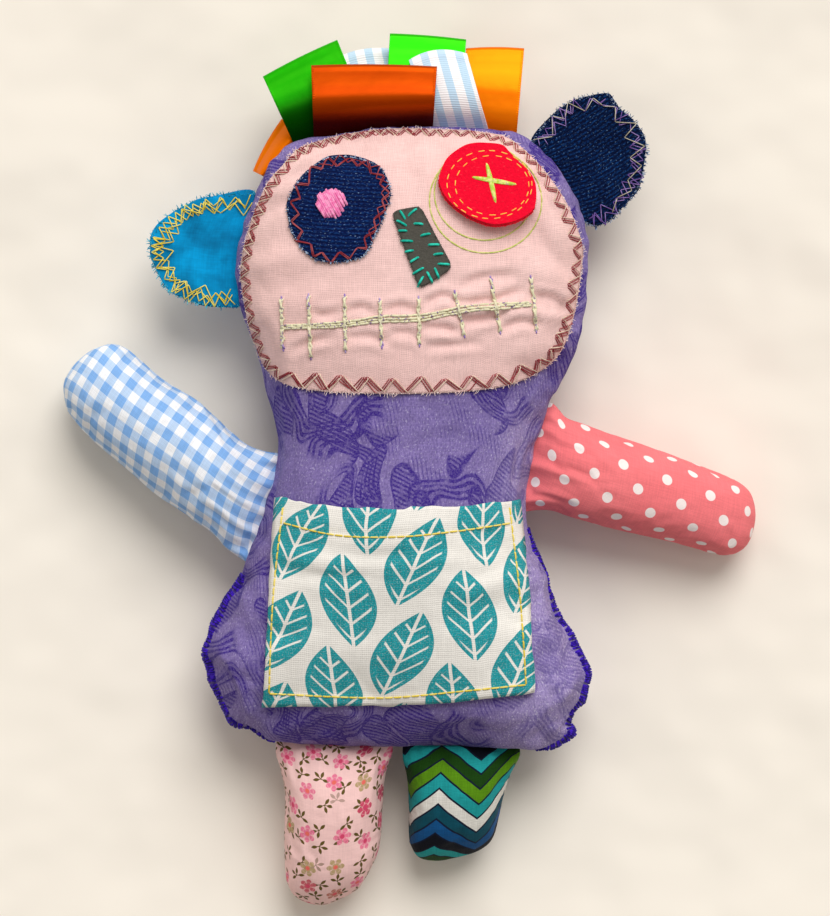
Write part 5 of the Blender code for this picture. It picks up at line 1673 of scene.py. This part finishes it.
# Ribbon hair: seven lengths of ribbon, each folded over once, with both ends sewn into the top seam.
# Each row of LOOPS: name, body, left and right root, left and right fold, layer from front to back,
# how far its fold bows out, and its finish.
LAYER_STEP = 6.8
LAYER_ROOT_STEP = 2.6
LAYER_FAN = 12
FOLD_RADIUS = 1.2
OPEN_RADIUS = 2.6
BULGE = 3.7
RIBBON_THICKNESS = 0.4
RIBBON_IN_SEAM = 6


def satin(name, root, deep, bright, width, shaded):
    """Satin ribbon: a smooth face that shines, with painted shade that darkens it toward the seam, and a
    fine woven edge.
    """
    cloth = Finish(name, 0.34, 0.0)
    x, y = cloth.pattern()
    edge = cloth.step(abs(x), width / 2 - 0.65, width / 2 - 0.5)
    # Streaks of painted sheen run along the satin, between its deep and bright colours.
    fine = cloth.noise(cloth.join(x * 0.08, y), 0.22, 1.0)
    sheen = cloth.step(cloth.noise(cloth.join(x * 0.07, y), 3.2, 1.0), 0.34, 0.66)
    share = sheen * 0.3 + fine * 0.25 + 0.28
    color = cloth.mix(share, deep, bright)
    # Painted shade: toward the seam the colour darkens to the root colour, over the span given by shaded.
    color = cloth.mix(cloth.step(y, *shaded) * 0.94, color, root)
    teeth = cloth.maths("SINE", y * (2 * math.pi / 0.7))
    picot = edge * cloth.step(teeth, -0.2, 0.6)
    color = cloth.mix(picot, color, cloth.tinted(color, (0.9, 0.9, 0.9)))
    cloth.raise_by(edge * teeth, 0.02)
    cloth.raise_by(edge, 0.02)
    cloth.crumple(0.25, 16)
    cloth.shader.inputs["Metallic"].default_value = 0.42
    cloth.shader.inputs["Specular IOR Level"].default_value = 0.02
    return cloth.done(color)


def grosgrain():
    """Grosgrain ribbon: ribs across it, and pale blue stripes along it on white."""
    cloth = Finish("striped_grosgrain", 0.6, 0.1)
    x, y = cloth.pattern()
    turn = cloth.maths("FRACT", x / 5.2 + 0.25)
    stripe = cloth.step(abs(turn - 0.5), 0.25, 0.22)
    color = cloth.mix(stripe, (0.92, 0.90, 0.91), (0.52, 0.70, 0.86))
    ribs = cloth.maths("SINE", y * (2 * math.pi / 0.75))
    # Painted shade darkens the troughs between the ribs.
    color = cloth.mix(cloth.step(ribs, -0.9, 0.2), cloth.tinted(color, (0.92, 0.92, 0.93)), color)
    cloth.raise_by(ribs, 0.04)
    return cloth.done(color)


# Each satin's colours are its painted shade at the seam, then the dark and bright ends of its painted
# sheen. The last pair of numbers gives how far from the seam the painted shade reaches.
orange_wide = satin(
    "orange_satin", (0.050, 0.0002, 0.0002), (0.32, 0.024, 0.0002), (0.46, 0.058, 0.0004), 38, (14.5, 6.5)
)
orange_narrow = satin(
    "narrow_orange_satin", (0.80, 0.15, 0.001), (0.76, 0.14, 0.001), (0.84, 0.20, 0.002), 17.5, (8, 3)
)
green = satin(
    "green_satin", (0.001, 0.045, 0.0003), (0.002, 0.33, 0.0004), (0.035, 0.50, 0.006), 25, (24, 11)
)
striped = grosgrain()
LOOPS = (
    (
        "orange_front_loop", "orange_front_loop", (-31.5, 100.6), (4.6, 104.6), (-33.2, 122.8),
        (5.2, 124.0), 1.5, 0.5, orange_wide, "orange_satin",
    ),
    (
        "green_left_loop", "torso", (-37.4, 98.6), (-13.1, 103.6), (-47.7, 118.8), (-25.5, 130.9), 0.5, 0.4,
        green, "green_satin",
    ),
    (
        "striped_right_loop", "torso", (3.4, 105.0), (21.8, 104.8), (-3.4, 125.6), (14.1, 128.3), 0.5, 2.2,
        striped, "striped_grosgrain",
    ),
    (
        "orange_left_loop", "orange_left_loop", (-45.6, 88.2), (-34.6, 99.9), (-49.5, 90.0), (-41.4, 106.2),
        -0.8, 0.6, orange_narrow, "orange_satin",
    ),
    (
        "green_back_loop", "torso", (-10.2, 104.2), (12.8, 104.6), (-9.6, 133.5), (13.7, 132.6), -0.5, 0.3,
        green, "green_satin",
    ),
    (
        "orange_right_loop", "orange_right_loop", (12.4, 104.6), (30.2, 103.2), (13.8, 129.9),
        (31.5, 130.6), -0.5, 0.4, orange_narrow, "orange_satin",
    ),
    (
        "striped_back_loop", "striped_back_loop", (-26.8, 101.0), (-3.6, 104.2), (-33.4, 119.2),
        (-9.7, 128.9), -1.6, 3.0, striped, "striped_grosgrain",
    ),
)
for name, body_name, root_left, root_right, fold_left, fold_right, layer, bow, finish, slot in LOOPS:
    roots, folds = np.array([root_left, root_right]), np.array([fold_left, fold_right])
    length = np.linalg.norm(folds.mean(axis=0) - roots.mean(axis=0))
    width = np.linalg.norm(folds[1] - folds[0])
    radius = OPEN_RADIUS if bow > 1 else FOLD_RADIUS
    straight = length - radius
    rows = []
    for share in np.linspace(0, 1, 21)[:-1]:
        bulge = BULGE * math.sin(math.pi * share**0.9)
        rows.append((straight * share, radius * (0.3 + 0.7 * ease(share * 3)) + bulge))
    for turn in np.linspace(math.pi / 2, -math.pi / 2, 13):
        rows.append((straight + radius * math.cos(turn), radius * math.sin(turn)))
    rows += [
        (straight * share, -radius * (0.3 + 0.7 * ease(share * 3))) for share in np.linspace(1, 0, 21)[1:]
    ]
    draw = random.Random(name)
    phase, swell = draw.uniform(0, 6), draw.uniform(0.3, 0.6)
    u = np.concatenate([[0, 0.006], np.linspace(0.05, 0.95, 19), [0.994, 1]])
    arch = bow * (1 - (2 * u - 1) ** 2)
    ahead = (folds.mean(axis=0) - roots.mean(axis=0)) / length
    spots = np.zeros((len(rows), len(u), 3))
    for row, (away, gape) in enumerate(rows):
        share = away / length
        plan = (1 - share) * (roots[0] + (roots[1] - roots[0]) * u[:, None])
        plan += share * (folds[0] + (folds[1] - folds[0]) * u[:, None] + ahead * arch[:, None])
        rise = (LAYER_ROOT_STEP + (LAYER_STEP - LAYER_ROOT_STEP) * ease(away / LAYER_FAN)) * layer
        height = SEAM + rise + gape + swell * share * np.sin(2.2 * u + phase)
        spots[row] = np.column_stack([drawn_at(plan, height), height])
    pattern = flat_pattern(spots)
    pattern[..., 0] = (u[None, :] - 0.5) * width
    reach = lengths(spots[:, len(u) // 2])
    pattern[..., 1] = np.minimum(reach, reach[-1] - reach)[:, None]
    loop = into_object(
        name + "_ribbon", laid_out(spots, pattern), finish, "torso" if body_name == "torso" else None
    )
    thicken(loop, RIBBON_THICKNESS, 0)
    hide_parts(name)
    (2 * length + RIBBON_IN_SEAM) * MM
    if body_name != "torso":
        bent_at_seam(loop, body_name, roots.mean(axis=0), ahead, min(9, 0.7 * length))
